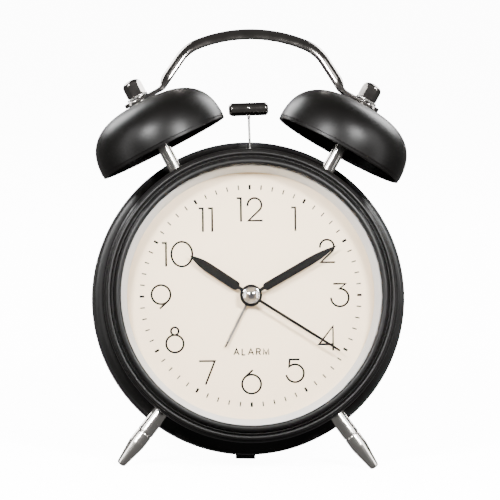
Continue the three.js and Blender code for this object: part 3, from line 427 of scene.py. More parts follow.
# Light room: tall soft boxes at the sides, small lights in front and behind, all white round about.
room = {
    "sideBox": {"turn": 66, "away": 0.85, "height": 0.26, "wide": 0.26, "tall": 0.9, "power": 5.5},
    "frontBox": {"turn": 30, "away": 0.9, "height": 0.62, "size": 0.2, "power": 29},
    "backBox": {"side": 0.55, "away": 0.75, "height": 0.55, "size": 0.4, "power": 9},
    "worldLevel": 0.14, "floorGlow": 12, "wallGlow": 14, "wallRadius": 4.0,
}


def addLight(name, place, wide, tall, power):
    data = bpy.data.lights.new(name, "AREA")
    data.shape = "RECTANGLE"
    data.size = wide
    data.size_y = tall
    data.energy = power
    light = bpy.data.objects.new(name, data)
    light.location = place
    aim = Vector(dialCentre) - light.location
    light.rotation_mode = "QUATERNION"
    light.rotation_quaternion = aim.to_track_quat("-Z", "Y")
    bpy.context.scene.collection.objects.link(light)


def glowingWhite(name, albedo, glow):
    material, nodes, links = newMaterial(name)
    shader = nodes["Principled BSDF"]
    shader.inputs["Roughness"].default_value = 0.7
    shader.inputs["Emission Strength"].default_value = glow
    shader.inputs["Emission Color"].default_value = (1, 1, 1, 1)
    coordinates = nodes.new("ShaderNodeTexCoord")
    mottle = noiseNode(nodes, links, coordinates.outputs["Object"], 0.4)
    links.new(tintNode(nodes, links, mottle, (albedo, albedo, albedo), 0.01), shader.inputs["Base Color"])
    return material


def addStage(name, profile, material):
    # Each (radius, height) of the profile, in metres, is turned round the row's Z.
    turn = np.linspace(0, 2 * np.pi, 64, endpoint=False)
    radius, height = np.array(profile, float).T
    points = np.stack([np.outer(radius, np.cos(turn)), np.outer(radius, np.sin(turn)),
                       np.outer(height, np.ones(64))], axis=-1)
    surface = sheet(points)
    mesh = bpy.data.meshes.new(name)
    mesh.from_pydata(points.reshape(-1, 3).tolist(), [], surface[1].tolist())
    mesh.materials.append(material)
    stageObject = bpy.data.objects.new(name, mesh)
    bpy.context.scene.collection.objects.link(stageObject)
    stageObject.visible_diffuse = stageObject.visible_glossy = False  # its glow stays off the clock


def addRoom(r):
    side, front = r["sideBox"], r["frontBox"]
    for label, sign in (("left", -1), ("right", 1)):
        turn = math.radians(side["turn"])
        place = (sign * side["away"] * math.sin(turn), -side["away"] * math.cos(turn), side["height"])
        addLight(f"soft_box_{label}", place, side["wide"], side["tall"], side["power"])
        turn = math.radians(front["turn"])
        place = (sign * front["away"] * math.sin(turn), -front["away"] * math.cos(turn), front["height"])
        addLight(f"front_light_{label}", place, front["size"], front["size"], front["power"])
    world = bpy.data.worlds.new("room")
    world.use_nodes = True
    level = r["worldLevel"]
    world.node_tree.nodes["Background"].inputs["Color"].default_value = (level, level, level, 1)
    bpy.context.scene.world = world
    back = r["backBox"]
    for label, sign in (("left", -1), ("right", 1)):
        addLight(f"back_light_{label}", (sign * back["side"], back["away"], back["height"]), back["size"],
                 back["size"], back["power"])
    wide = r["wallRadius"]
    addStage("table", [(0, 0), (wide / 2, 0), (wide, 0)], glowingWhite("table_white", 0.82, r["floorGlow"]))
    addStage("wall", [(wide, 0), (wide, wide / 2), (wide * 0.7, wide), (0, wide * 1.1)],
             glowingWhite("wall_white", 0.85, r["wallGlow"]))


addRoom(room)
print("camera, lights and room made")

# Case and front. Each corner of a profile is (radius, depth, rounding).
case = {
    "frontY": -8.7, "neck": 53.0, "neckInner": 51.2, "neckEndY": 3.2, "cove": 5.5, "radius": 58.5, "lip": 1.2,
    "inner": 56.9, "skin": 1.6, "rearY": 24.0, "rearRound": 2.2, "ledge": 47.5, "ledgeFrontY": -6.9,
    "ledgeRearY": -5.5, "steps": 224, "slotHalfX": 1.9, "slotHalfY": 1.3, "slotZ": (49.5, 56),
    "bossCircle": 52.6, "bossRadius": 4.4, "bossBore": 1.5, "bossFrontY": 12, "bossRearY": 20.2,
}
bossAngles = (90, 195, 345)


def addCase(c):
    # Neck, hollow cove up to the body, straight body and a rolled rear edge, then back inside.
    rimY, roundStart = c["neckEndY"] + c["cove"], c["rearY"] - c["rearRound"]
    neck = rounded([(c["neckInner"], c["frontY"]), (c["neck"], c["frontY"], 0.3), (c["neck"], -6)])
    cove = arc((c["radius"], c["neckEndY"]), c["cove"], 180, 90)
    lip = rounded([(c["radius"] - c["lip"], rimY), (c["radius"], rimY, 0.45), (c["radius"], rimY + 2)])
    rear = arc((c["radius"] - c["rearRound"], roundStart), c["rearRound"], 0, 90, 10)
    inside = [(c["inner"], roundStart), (c["inner"], rimY + c["skin"]),
              (c["neckInner"], c["neckEndY"] + c["skin"]), (c["neckInner"], c["ledgeRearY"]),
              (c["ledge"], c["ledgeRearY"]), (c["ledge"], c["ledgeFrontY"]),
              (c["neckInner"], c["ledgeFrontY"]), (c["neckInner"], c["frontY"])]
    profile = np.concatenate([neck, cove[:-3], lip, rear, inside])
    drum = addMesh("case_shell", lathe(profile, c["steps"], closed=True))
    slot = block(-c["slotHalfX"], c["slotHalfX"], -c["slotHalfY"], c["slotHalfY"], *c["slotZ"])
    drum = cutAway(drum, addMesh("slot_cut", slot))
    addPiece("case_shell", drum, "case_black", stands=("case_drum",), crease=30)


def bossPlace(angle):
    turn = math.radians(angle)
    return np.array([case["bossCircle"] * math.cos(turn), 0, case["bossCircle"] * math.sin(turn)])


def addBosses(c):
    bore, radius, front, rear = c["bossBore"], c["bossRadius"], c["bossFrontY"], c["bossRearY"]
    tube = rounded([(bore, front), (radius, front, 0.4), (radius, rear, 0.3), (bore, rear)])
    towers = [lathe(tube, 32, bossPlace(angle), closed=True) for angle in bossAngles]
    addPiece("screw_towers", together(*towers), "case_black")


bezel = {
    "steps": 288, "bead": (52.95, -14.3, 0.72),  # radius, depth and size of the bead
    "flange": [(50.3, -16.3), (50.3, -9, 0.1), (54.2, -9, 0.3), (54.8, -9.7, 0.4), (54.8, -12.3, 0.7),
               (54.05, -13.35, 0.12), (53.8, -13.5, 0.1), (53.75, -14.0)],
    "ridge": [(52.2, -14.2), (52.1, -15.1, 0.12), (51.9, -15.2, 0.1), (51.74, -15.75, 0.12),
              (51.44, -15.75, 0.12), (51.32, -15.25, 0.1), (51.15, -15.3, 0.12)],
    "band": [(50.95, -16.7, 0.25), (50.3, -17.95, 0.55), (49.2, -18.0, 0.35), (48.5, -17.25, 0.25),
             (48.5, -16.3, 0.1), (50.3, -16.3)],
}


def addBezel(b):
    # Rear flange, thin edge step, round bead, groove, fine ridge, then a broad band round the glass.
    beadRadius, beadY, beadSize = b["bead"]
    bead = arc((beadRadius, beadY), beadSize, 10, -190, 18)
    profile = np.concatenate([rounded(b["flange"]), bead, rounded(b["ridge"] + b["band"])[:-1]])
    addPiece("bezel_ring", lathe(profile, b["steps"], closed=True), "case_black", stands=("bezel",),
             crease=32, finish="bezel_satin")


glass = {
    "lens": [(0, -16), (50, -16, 0.3), (50, -14.4, 0.2), (0, -14.4)], "lensSteps": 160,
    "ring": [(48.2, -13, 0.15), (50, -13, 0.2), (50, -8.3, 0.2), (46.3, -8.3, 0.1), (46.0, -8.45, 0.1)],
    "ringSteps": 256, "face": [(3.1, -8), (50, -8), (50, -7.2), (3.1, -7.2)], "faceSteps": 192,
}


def addGlassAndDial(g):
    addPiece("lens_pane", lathe(rounded(g["lens"]), g["lensSteps"]), "lens_glass", stands=("lens",))
    ring = lathe(rounded(g["ring"], closed=True), g["ringSteps"], closed=True)
    addPiece("spacer_ring", ring, "ring_white", stands=("dial_ring",), crease=30)
    face = lathe(rounded(g["face"]), g["faceSteps"], closed=True)
    addPiece("dial_face", face, "dial_cream", stands=("dial",))


addCase(case)
addBosses(case)
addBezel(bezel)
addGlassAndDial(glass)
print("case, bezel and dial made")

# Printing on the dial: strokes in the dial's plane, x to the right and z up, in millimetres.
printing = {
    "turn": -1.2, "front": -8.045, "rear": -7.98, "lift": 0.002, "stroke": 0.72, "height": 9.15,
    "tickRadius": 40.5, "tickLength": 1.75, "tickWidth": 0.46, "hourTickLength": 1.75, "hourTickWidth": 0.82,
    "numeralRadius": {1: 33.0, 2: 33.0, 3: 33.0, 4: 32.1, 5: 32.4, 6: 32.2, 7: 32.8, 8: 32.8, 9: 33.4,
                      10: 31.4, 11: 32.9, 12: 32.2},
    "word": "ALARM", "wordZ": -22.0, "wordHeight": 2.75, "wordStroke": 0.46, "wordSpace": 0.5,
}
capHeight = printing["height"]
barTop = capHeight - printing["stroke"] / 2  # centre line of a numeral's top bar
barLow = printing["stroke"] / 2


def tangentAngle(centre, radius, point, side):
    # Angle on the circle where a line from the point touches it.
    dx, dz = point[0] - centre[0], point[1] - centre[1]
    return math.degrees(math.atan2(dz, dx) + side * math.acos(radius / math.hypot(dx, dz)))


def circle(centre, radiusX, radiusZ=None):
    turn = np.linspace(0, 2 * np.pi, 64, endpoint=False)
    across, up = radiusX * np.cos(turn), (radiusZ or radiusX) * np.sin(turn)
    return np.stack([centre[0] + across, centre[1] + up], axis=1)


# A numeral is a list of (path, closed) about x, with its foot at 0.
def digitOne(x):
    return [([(x - 1.55, barTop), (x, barTop), (x, 0)], False)]


def digitTwo(x):
    bowl, radius, foot = (x, barTop - 2.6), 2.6, (x - 2.3, barLow)
    end = tangentAngle(bowl, radius, foot, 1)
    curve = arc(bowl, radius, 188, end, 30)
    return [(np.concatenate([curve, [foot, (x + 3.0, barLow)]]), False)]


def digitThree(x):
    radius = 3.3
    bowl = arc((x, barLow + radius), radius, 92, -180, 44)
    return [(np.concatenate([[(x - 2.45, barTop), (x + 2.2, barTop)], bowl]), False)]


def digitFour(x):
    return [([(x + 2.7, 2.35), (x - 2.5, 2.35), (x + 2.7, capHeight - 0.1), (x + 2.7, 0)], False)]


def digitFive(x):
    radius = 3.3
    bowl = arc((x, barLow + radius), radius, 132, -170, 44)
    return [(np.concatenate([[(x + 1.75, barTop), (x - 1.95, barTop)], bowl]), False)]


def digitSix(x):
    radius = 3.53
    middle, stemTop = (x, barLow + radius), (x + 0.5, capHeight)
    touch = np.radians(tangentAngle(middle, radius, stemTop, 1))
    foot = (middle[0] + radius * math.cos(touch), middle[1] + radius * math.sin(touch))
    return [(circle(middle, radius), True), ([stemTop, foot], False)]


def digitSeven(x):
    return [([(x - 3.1, barTop), (x + 2.8, barTop), (x - 0.7, 0)], False)]


def digitEight(x):
    lower, upper = 3.24, 1.42
    return [(circle((x, lower + 0.1), lower), True), (circle((x, 2 * lower + upper + 0.1), upper), True)]


def digitNine(x):
    # A six turned half round.
    return [(np.array([2 * x, capHeight]) - np.array(path), closed) for path, closed in digitSix(x)]


def digitZero(x):
    return [(circle((x, capHeight / 2), 3.9, 4.6), True)]


digits = {
    1: digitOne(0.4), 2: digitTwo(0), 3: digitThree(0.2), 4: digitFour(0), 5: digitFive(0), 6: digitSix(0),
    7: digitSeven(0), 8: digitEight(0), 9: digitNine(0), 10: digitOne(-4.2) + digitZero(1.7),
    11: digitOne(-1.1) + digitOne(2.35), 12: digitOne(-3.35) + digitTwo(1.75),
}

# Centre lines of the capitals in shares of their height, and their widths.
capitals = {
    "A": ([[(0, 0), (0.42, 1), (0.84, 0)], [(0.17, 0.34), (0.67, 0.34)]], 0.84),
    "L": ([[(0, 1), (0, 0), (0.5, 0)]], 0.5),
    "M": ([[(0, 0), (0, 1), (0.42, 0.1), (0.84, 1), (0.84, 0)]], 0.84),
    "R": ([np.concatenate([[(0, 0), (0, 1)], arc((0.36, 0.75), 0.25, 90, -90, 14), [(0, 0.5)]]),
           [(0.32, 0.5), (0.64, 0)]], 0.64),
}


def turnedPath(path, degrees, shift):
    # Turned clockwise about the origin after the shift.
    t = math.radians(degrees)
    moved = np.array(path, float) + shift
    return moved @ np.array([[math.cos(t), -math.sin(t)], [math.sin(t), math.cos(t)]])


def addTicks(p):
    marks = []
    for minute in range(60):
        isHour = minute % 5 == 0
        length = p["hourTickLength"] if isHour else p["tickLength"]
        width = p["hourTickWidth"] if isHour else p["tickWidth"]
        path = [(0, p["tickRadius"] - length / 2), (0, p["tickRadius"] + length / 2)]
        marks.append(stroke(turnedPath(path, minute * 6 + p["turn"], 0), width, p["front"], p["rear"]))
    addPiece("minute_track", together(*marks), "hand_black", finish="dial_ink")


def inked(strokes, width, shift, p):
    # Each stroke lies a hair in front of the last, so that crossing strokes share no face.
    return together(*[stroke(turnedPath(path, p["turn"], shift), width, p["front"] - p["lift"] * i,
                             p["rear"], closed) for i, (path, closed) in enumerate(strokes)])


def addNumerals(p):
    for hour, strokes in digits.items():
        angle = math.radians(hour * 30)
        centre = p["numeralRadius"][hour] * np.array([math.sin(angle), math.cos(angle)])
        numeral = inked(strokes, p["stroke"], centre - np.array([0, capHeight / 2]), p)
        addPiece(f"numeral_{hour}", numeral, "hand_black", finish="dial_ink")


def addWord(p):
    height = p["wordHeight"] - p["wordStroke"]
    letters = [capitals[letter] for letter in p["word"]]
    space = p["wordSpace"] * height
    x = -(sum(width * height for _, width in letters) + space * (len(letters) - 1)) / 2
    drawn = []
    for paths, width in letters:
        strokes = [(np.array(path) * height, False) for path in paths]
        drawn.append(inked(strokes, p["wordStroke"], np.array([x, p["wordZ"]]), p))
        x += width * height + space
    addPiece("dial_word", together(*drawn), "hand_black", finish="dial_ink")


addTicks(printing)
addNumerals(printing)
addWord(printing)
print("dial printing made")

# Hands, drawn pointing at 12 and then turned clockwise to their own angles.
hands = {
    "alarm": {"angle": 205.6, "backY": -8.9, "thick": 0.4, "hub": 3.9, "bore": 3.05, "half": 0.425,
              "tip": 21.5},
    "hour": {"angle": 302.5, "backY": -9.9, "thick": 0.4, "hub": 4.1, "bore": 2.25, "half": 1.75, "tip": 27.1,
             "neck": 0.65, "neckEnd": 5.6, "shoulder": 7.3, "taper": 18.7},
    "minute": {"angle": 59.1, "backY": -10.9, "thick": 0.4, "hub": 4.1, "bore": 1.5, "half": 1.525, "tip": 37.0,
               "neck": 0.65, "neckEnd": 5.6, "shoulder": 7.3, "taper": 24.0},
    "second": {"angle": 121.2, "backY": -11.8, "thick": 0.3, "hub": 1.6, "bore": 0.75, "half": 0.525,
               "tip": 39.0},
}


def leafOutline(h):
    # Neck, quarter-round shoulders, parallel blade and a convex taper to the point.
    t = np.linspace(0, 1, 14)
    shoulder = np.stack([(1 - t) ** 2 * h["neck"] + (1 - (1 - t) ** 2) * h["half"],
                         h["neckEnd"] + t ** 2 * (h["shoulder"] - h["neckEnd"])], axis=1)
    t = np.linspace(0, 1, 24)
    middle = h["taper"] + (h["tip"] - h["taper"]) * 0.55
    taper = np.stack([(1 - t ** 2) * h["half"], (1 - t) ** 2 * h["taper"] + 2 * t * (1 - t) * middle
                      + t ** 2 * h["tip"]], axis=1)
    return np.concatenate([[(h["neck"], h["hub"] - 0.6)], shoulder, taper])


def pinOutline(h):
    # Straight for most of its length, then narrower to a blunt tip.
    half, tip = h["half"], h["tip"]
    return np.array([(half, h["hub"] - 0.5), (half, tip * 0.6), (half * 0.75, tip - 0.5), (half * 0.4, tip)])


def blade(h, outline):
    # A flat strip of the outline's half width, with a small bevel on its front edges.
    half, z = outline.T
    half = np.maximum(half, 0.03)
    edge = np.minimum(0.07, half * 0.3)
    rear, front = np.full(len(z), h["backY"]), np.full(len(z), h["backY"] - h["thick"])
    section = [(-half, rear), (-half, front + edge), (-half + edge, front), (half - edge, front),
               (half, front + edge), (half, rear)]
    return capped(np.stack([np.stack([x, y, z], axis=1) for x, y in section], axis=1))


def addHand(name, h, slotName, outline):
    points = blade(h, outline)
    t = math.radians(h["angle"])
    turn = np.array([[math.cos(t), 0, math.sin(t)], [0, 1, 0], [-math.sin(t), 0, math.cos(t)]])
    back, front = h["backY"], h["backY"] - h["thick"]
    hub = rounded([(h["bore"], front), (h["hub"], front, 0.14), (h["hub"], back), (h["bore"], back)])
    surface = together(sheet(points @ turn.T), lathe(hub, 72, closed=True))
    addPiece(f"{name}_blade", surface, slotName, body=name, stands=(f"{name}_hand",), crease=28)


for handName, hand in hands.items():
    outlineOf = leafOutline if "neck" in hand else pinOutline
    addHand(handName, hand, "alarm_hand_grey" if handName == "alarm" else "hand_black", outlineOf(hand))

cap = {"radius": 3.2, "backY": -12.4, "height": 1.5}


def addCap(c):
    # A spherical cap with a tiny turned-over edge.
    ball = (c["radius"] ** 2 + c["height"] ** 2) / (2 * c["height"])
    edge = math.asin(c["radius"] / ball)
    t = np.linspace(0, edge, 22)
    dome = np.stack([ball * np.sin(t), c["backY"] - c["height"] + ball * (1 - np.cos(t))], axis=1)
    dome[-1] = (c["radius"], c["backY"] - 0.12)
    rim = [(c["radius"], c["backY"]), (0, c["backY"])]
    addPiece("cap_dome", lathe(np.concatenate([dome, rim]), 96), "mirror_chrome", body="second",
             stands=("hand_cap",), crease=50)


addCap(cap)
print("hands made")

# Bells with their posts, washers and nuts. Heights are from the rim's plane along the bell's axis.
bell = {
    "x": 32.5, "z": 55.1, "tilt": 28, "radius": 25.4, "height": 19.4, "wall": 1.2, "power": 2.75, "hole": 2.5,
    "band": 1.25, "bandInset": 0.16, "steps": 192,
}


def domeProfile(radius, height, power, endRadius, steps):
    # Superellipse |r/R|^n + |z/H|^n = 1 from the rim up to the end radius.
    last = math.acos((endRadius / radius) ** (power / 2))
    t = np.linspace(0, last, steps)
    return np.stack([radius * np.cos(t) ** (2 / power), height * np.sin(t) ** (2 / power)], axis=1)


def addBell(label, side, b):
    # Plain band at the rim, a fine shoulder line, the dome, and the inner wall a thickness inside.
    outer = domeProfile(b["radius"], b["height"], b["power"], b["hole"], 72)
    outer = outer[outer[:, 1] > b["band"] + 0.35]
    rim = b["radius"] - b["bandInset"]
    edge = rounded([
        (b["radius"] - b["wall"], 0.3), (rim - 0.6, 0, 0.2), (rim, 0, 0.25), (rim, b["band"], 0.1),
        (b["radius"], b["band"] + 0.1, 0.1), (b["radius"], b["band"] + 0.3),
    ])
    inner = domeProfile(b["radius"] - b["wall"], b["height"] - b["wall"], b["power"], b["hole"], 40)
    inner = inner[inner[:, 1] > 0.5]
    profile = np.concatenate([edge, outer, inner[::-1]])
    surface = lathe(profile, b["steps"], (side * b["x"], 0, b["z"]), tiltedAxes(side * math.radians(b["tilt"])),
                    closed=True)
    addPiece(f"bell_dome_{label}", surface, "case_black", stands=(f"bell_{label}",), crease=30)


fittings = {
    "post": 2.4, "stud": 1.9, "postFoot": -10.6, "shoulder": 17.7, "studTop": 25, "studEnd": -17,
    "washerZ": 21.3, "washerThick": 0.6, "washerInner": 2.3, "washerOuter": 4.3, "washerRoot": 3.65,
    "teeth": 14, "nutZ": 22.1, "flats": 6.4, "nutHeight": 6.3, "domeStart": 3.9, "cornerRadius": 3.68,
}


def hexRadius(flats, angle):
    # Distance to a hexagon's side at an angle, with a flat facing the front.
    sector = np.mod(angle, np.pi / 3) - np.pi / 6
    return flats / 2 / np.cos(sector)


def nutRadius(f):
    def at(radius, angle):
        return np.minimum(hexRadius(f["flats"], angle), radius)
    return at


def toothedRadius(f):
    def at(radius, angle):
        wave = np.clip(2.2 * np.cos(f["teeth"] * angle) + 0.4, -1, 1)
        reach = f["washerRoot"] + (f["washerOuter"] - f["washerRoot"]) * (wave + 1) / 2
        return np.where(radius > f["washerRoot"], np.minimum(radius, reach), radius)
    return at


def addFittings(label, side, b, f):
    origin, axes = (side * b["x"], 0, b["z"]), tiltedAxes(side * math.radians(b["tilt"]))
    post = rounded([
        (0, f["studEnd"]), (f["stud"], f["studEnd"], 0.3), (f["stud"], f["postFoot"]),
        (f["post"], f["postFoot"], 0.2), (f["post"], f["shoulder"], 0.3), (f["stud"], f["shoulder"]),
        (f["stud"], f["studTop"], 0.4), (0, f["studTop"]),
    ])
    addPiece(f"post_{label}", lathe(post, 64, origin, axes), "bright_nickel", stands=(f"bell_post_{label}",))
    z0, z1 = f["washerZ"], f["washerZ"] + f["washerThick"]
    ring = rounded([(f["washerInner"], z0), (f["washerOuter"], z0, 0.1), (f["washerOuter"], z1, 0.1),
                    (f["washerInner"], z1)])
    addPiece(f"washer_{label}", fluted(ring, 14 * f["teeth"], toothedRadius(f), origin, axes, closed=True),
             "zinc_steel", stands=(f"lock_washer_{label}",), crease=30)
    t = np.linspace(0, np.pi / 2, 16)
    crown = np.stack([f["cornerRadius"] * np.cos(t) ** 0.86,
                      f["domeStart"] + (f["nutHeight"] - f["domeStart"]) * np.sin(t) ** 0.86], axis=1)
    crown[-1, 0] = 0
    foot = [(0, 0), (3.2, 0), (3.45, 0.02), (f["cornerRadius"] + 0.02, 0.28)]
    sides = np.stack([np.full(6, 3.7), np.linspace(0.5, f["domeStart"] - 0.1, 6)], axis=1)
    rows = np.concatenate([foot, sides, crown])
    rows[:, 1] += f["nutZ"]
    addPiece(f"acorn_nut_{label}", fluted(rows, 96, nutRadius(f), origin, axes), "gunmetal",
             stands=(f"cap_nut_{label}",), crease=22)


for label, side in (("left", -1), ("right", 1)):
    addBell(label, side, bell)
    addFittings(label, side, bell, fittings)
print("bells made")

# Handle: one pressed strip. Its channel section flattens into a round-ended tab at each bell.
handle = {
    "topZ": 98.5, "archRadius": 54, "archAngle": 22, "shoulderRadius": 15, "legAngle": 57, "halfWidth": 4.0,
    "depth": 3.6, "skin": 1.1, "tabBottom": 19.7, "tabThick": 1.3, "tabHalf": 4.75, "bendX": -9.9,
    "tabEnd": 6.0, "bendRadius": 3.2, "flatBefore": 3.0, "flatOver": 5.5,
}


def handleCentreLine(h, b):
    # Half of the strip's path in (x, z): arch, shoulder, straight leg, bend and flat tab.
    tilt = math.radians(b["tilt"])
    along = np.array([math.cos(tilt), -math.sin(tilt)])
    across = np.array([math.sin(tilt), math.cos(tilt)])
    root = np.array([b["x"], b["z"]])
    middle = h["tabBottom"] + h["depth"] / 2
    bend = root + along * h["bendX"] + across * middle
    end = root + along * h["tabEnd"] + across * middle
    arch = arc((0, h["topZ"] - h["archRadius"]), h["archRadius"], 90, 90 - h["archAngle"], 26)
    turn = math.radians(h["archAngle"])
    shoulderAt = arch[-1] - h["shoulderRadius"] * np.array([math.sin(turn), math.cos(turn)])
    shoulder = arc(shoulderAt, h["shoulderRadius"], 90 - h["archAngle"], 90 - h["legAngle"], 18)
    leg = shoulder[-1] + (bend - shoulder[-1]) * np.linspace(0, 1, 20)[1:-1, None]
    tab = bend + (end - bend) * (np.linspace(0, 1, 44)[1:, None])
    corner = rounded([tuple(leg[-1]), (*bend, h["bendRadius"]), tuple(tab[8])], steps=12)
    return np.concatenate([arch, shoulder[1:], leg[:-1], corner, tab[9:]])


def addHandle(h, b):
    half = handleCentreLine(h, b)
    path = np.concatenate([half[::-1] * np.array([-1, 1]), half[1:]])
    step = np.gradient(path, axis=0)
    step /= np.linalg.norm(step, axis=1)[:, None]
    outward = np.stack([-step[:, 1], step[:, 0]], axis=1)  # away from the clock
    tilt = math.radians(b["tilt"])
    fromEnd = (np.abs(path[:, 0]) - b["x"]) * math.cos(tilt) - (path[:, 1] - b["z"]) * math.sin(tilt)
    # Flattening goes from 0 on the leg to 1 just past the bend.
    flat = np.clip((fromEnd - (h["bendX"] - h["flatBefore"])) / h["flatOver"], 0, 1)
    flat = flat * flat * (3 - 2 * flat)
    width = h["halfWidth"] + (h["tabHalf"] - h["halfWidth"]) * flat
    centre = h["tabEnd"] - h["tabHalf"]
    inCap = np.clip((fromEnd - centre) / h["tabHalf"], 0, 1)
    width = np.maximum(width * np.sqrt(1 - inCap ** 2), 0.05)
    bottom = -h["depth"] / 2
    crown = h["depth"] / 2 + (bottom + h["tabThick"] - h["depth"] / 2) * flat
    roof = (h["depth"] / 2 - h["skin"]) * (1 - flat) + bottom * flat
    power = 2 + 5 * flat
    skin = np.minimum(h["skin"] * (1 - 0.6 * flat), 0.45 * width)
    phi = np.linspace(0, np.pi, 28)
    c, s = np.cos(phi)[None], np.sin(phi)[None]
    bend = (2 / power)[:, None]
    outerY = width[:, None] * np.sign(c) * np.abs(c) ** bend
    outerH = bottom + (crown - bottom)[:, None] * np.abs(s) ** bend
    innerY = (width - skin)[:, None] * np.sign(c[:, ::-1]) * np.abs(c[:, ::-1]) ** bend
    innerH = bottom + (roof - bottom)[:, None] * np.abs(s) ** bend
    y = np.concatenate([outerY, innerY], axis=1)
    lift = np.concatenate([outerH, innerH], axis=1)
    points = np.stack([path[:, None, 0] + outward[:, None, 0] * lift, y,
                       path[:, None, 1] + outward[:, None, 1] * lift], axis=-1)
    addPiece("handle_strip", sheet(capped(points)), "gunmetal", stands=("handle",), crease=34)


addHandle(handle, bell)
print("handle made")

# Feet and rear pad.
foot = {
    "angle": 143, "stud": 1.9, "studR": 46.4, "root": 53.3, "radius": 3.05, "grooveAt": 64.3,
    "grooveDepth": 0.28, "taperAt": 69.2, "tip": 79.1, "tipRadius": 1.65,
}


def addFoot(label, side, f):
    # A turned bar with one fine groove, tapering to a small round tip; the tip is ground flat on the table.
    groove = f["grooveAt"]
    profile = rounded([
        (0, f["studR"]), (f["stud"], f["studR"], 0.3), (f["stud"], f["root"]), (f["radius"], f["root"], 0.25),
        (f["radius"], groove - 0.4, 0.15), (f["radius"] - f["grooveDepth"], groove - 0.1, 0.1),
        (f["radius"] - f["grooveDepth"], groove + 0.1, 0.1), (f["radius"], groove + 0.4, 0.15),
        (f["radius"], f["taperAt"], 0.5), (f["tipRadius"], f["tip"] - 0.35, 0.7), (0.6, f["tip"], 0.3),
        (0, f["tip"]),
    ])
    between = [np.linspace(a, b, 5)[:-1] for a, b in zip(profile[:-1], profile[1:])]
    fine = np.concatenate(between + [profile[-1:]])
    points, quads, uv = lathe(fine, 72, axes=tiltedAxes(side * math.radians(f["angle"])))
    row = toRow(points)
    row[:, 2] = np.maximum(row[:, 2], 0)
    ground = (row - dialCentre) @ clockAxes / mm
    addPiece(f"leg_{label}", (ground, quads, uv), "bright_nickel", stands=(f"foot_{label}",), crease=40)


for label, side in (("left", -1), ("right", 1)):
    addFoot(label, side, foot)

pad = {"ribs": 4, "ribDepth": 0.3, "corner": 0.3, "levels": 40, "steps": 72}


def addPad(p):
    # A ribbed rubber heel between the case and the table: a superellipse with |cos|^n and |sin|^n.
    padLow, padHigh = np.array(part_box("rest_pad"))
    middle, half = (padLow + padHigh) / 2, (padHigh - padLow) / 2
    levels = np.linspace(padLow[2], padHigh[2], p["levels"])
    wave = 0.5 - 0.5 * np.cos(2 * np.pi * p["ribs"] * np.linspace(0, 1, p["levels"]))
    shrink = (p["ribDepth"] * wave)[:, None] * mm
    turn = np.linspace(0, 2 * np.pi, p["steps"], endpoint=False)
    shapeX, shapeY = [np.sign(side) * np.abs(side) ** p["corner"] for side in (np.cos(turn), np.sin(turn))]
    rows = np.stack([middle[0] + (half[0] - shrink) * shapeX, middle[1] + (half[1] - shrink) * shapeY,
                     np.broadcast_to(levels[:, None], (p["levels"], p["steps"]))], axis=-1)
    points, quads, uv = sheet(capped(rows))
    addPiece("rubber_heel", ((points - dialCentre) @ clockAxes / mm, quads, uv), "gasket_rubber",
             stands=("rest_pad",), crease=40)


addPad(pad)
print("feet made")

# Hammer between the bells. It is drawn about its pivot and leaned to its rest angle.
hammer = {
    "pivotZ": 44, "lean": -2.73, "headZ": 26.2, "half": 7.35, "radius": 2.45, "chamfer": 0.75, "wire": 0.42,
    "collar": 0.14, "hub": 2.0, "bore": 1.1, "hubFront": -1.5, "hubRear": 2.9, "rivet": 0.55, "rivetHigh": 0.28,
    "rivetUp": 0.35, "forkFront": 1.3, "forkThick": 1.2, "forkHalf": 2.4, "forkTop": -1.4, "forkEnd": -12.5,
    "notchHalf": 0.95, "notchTop": -8, "lap": 0.5,
}


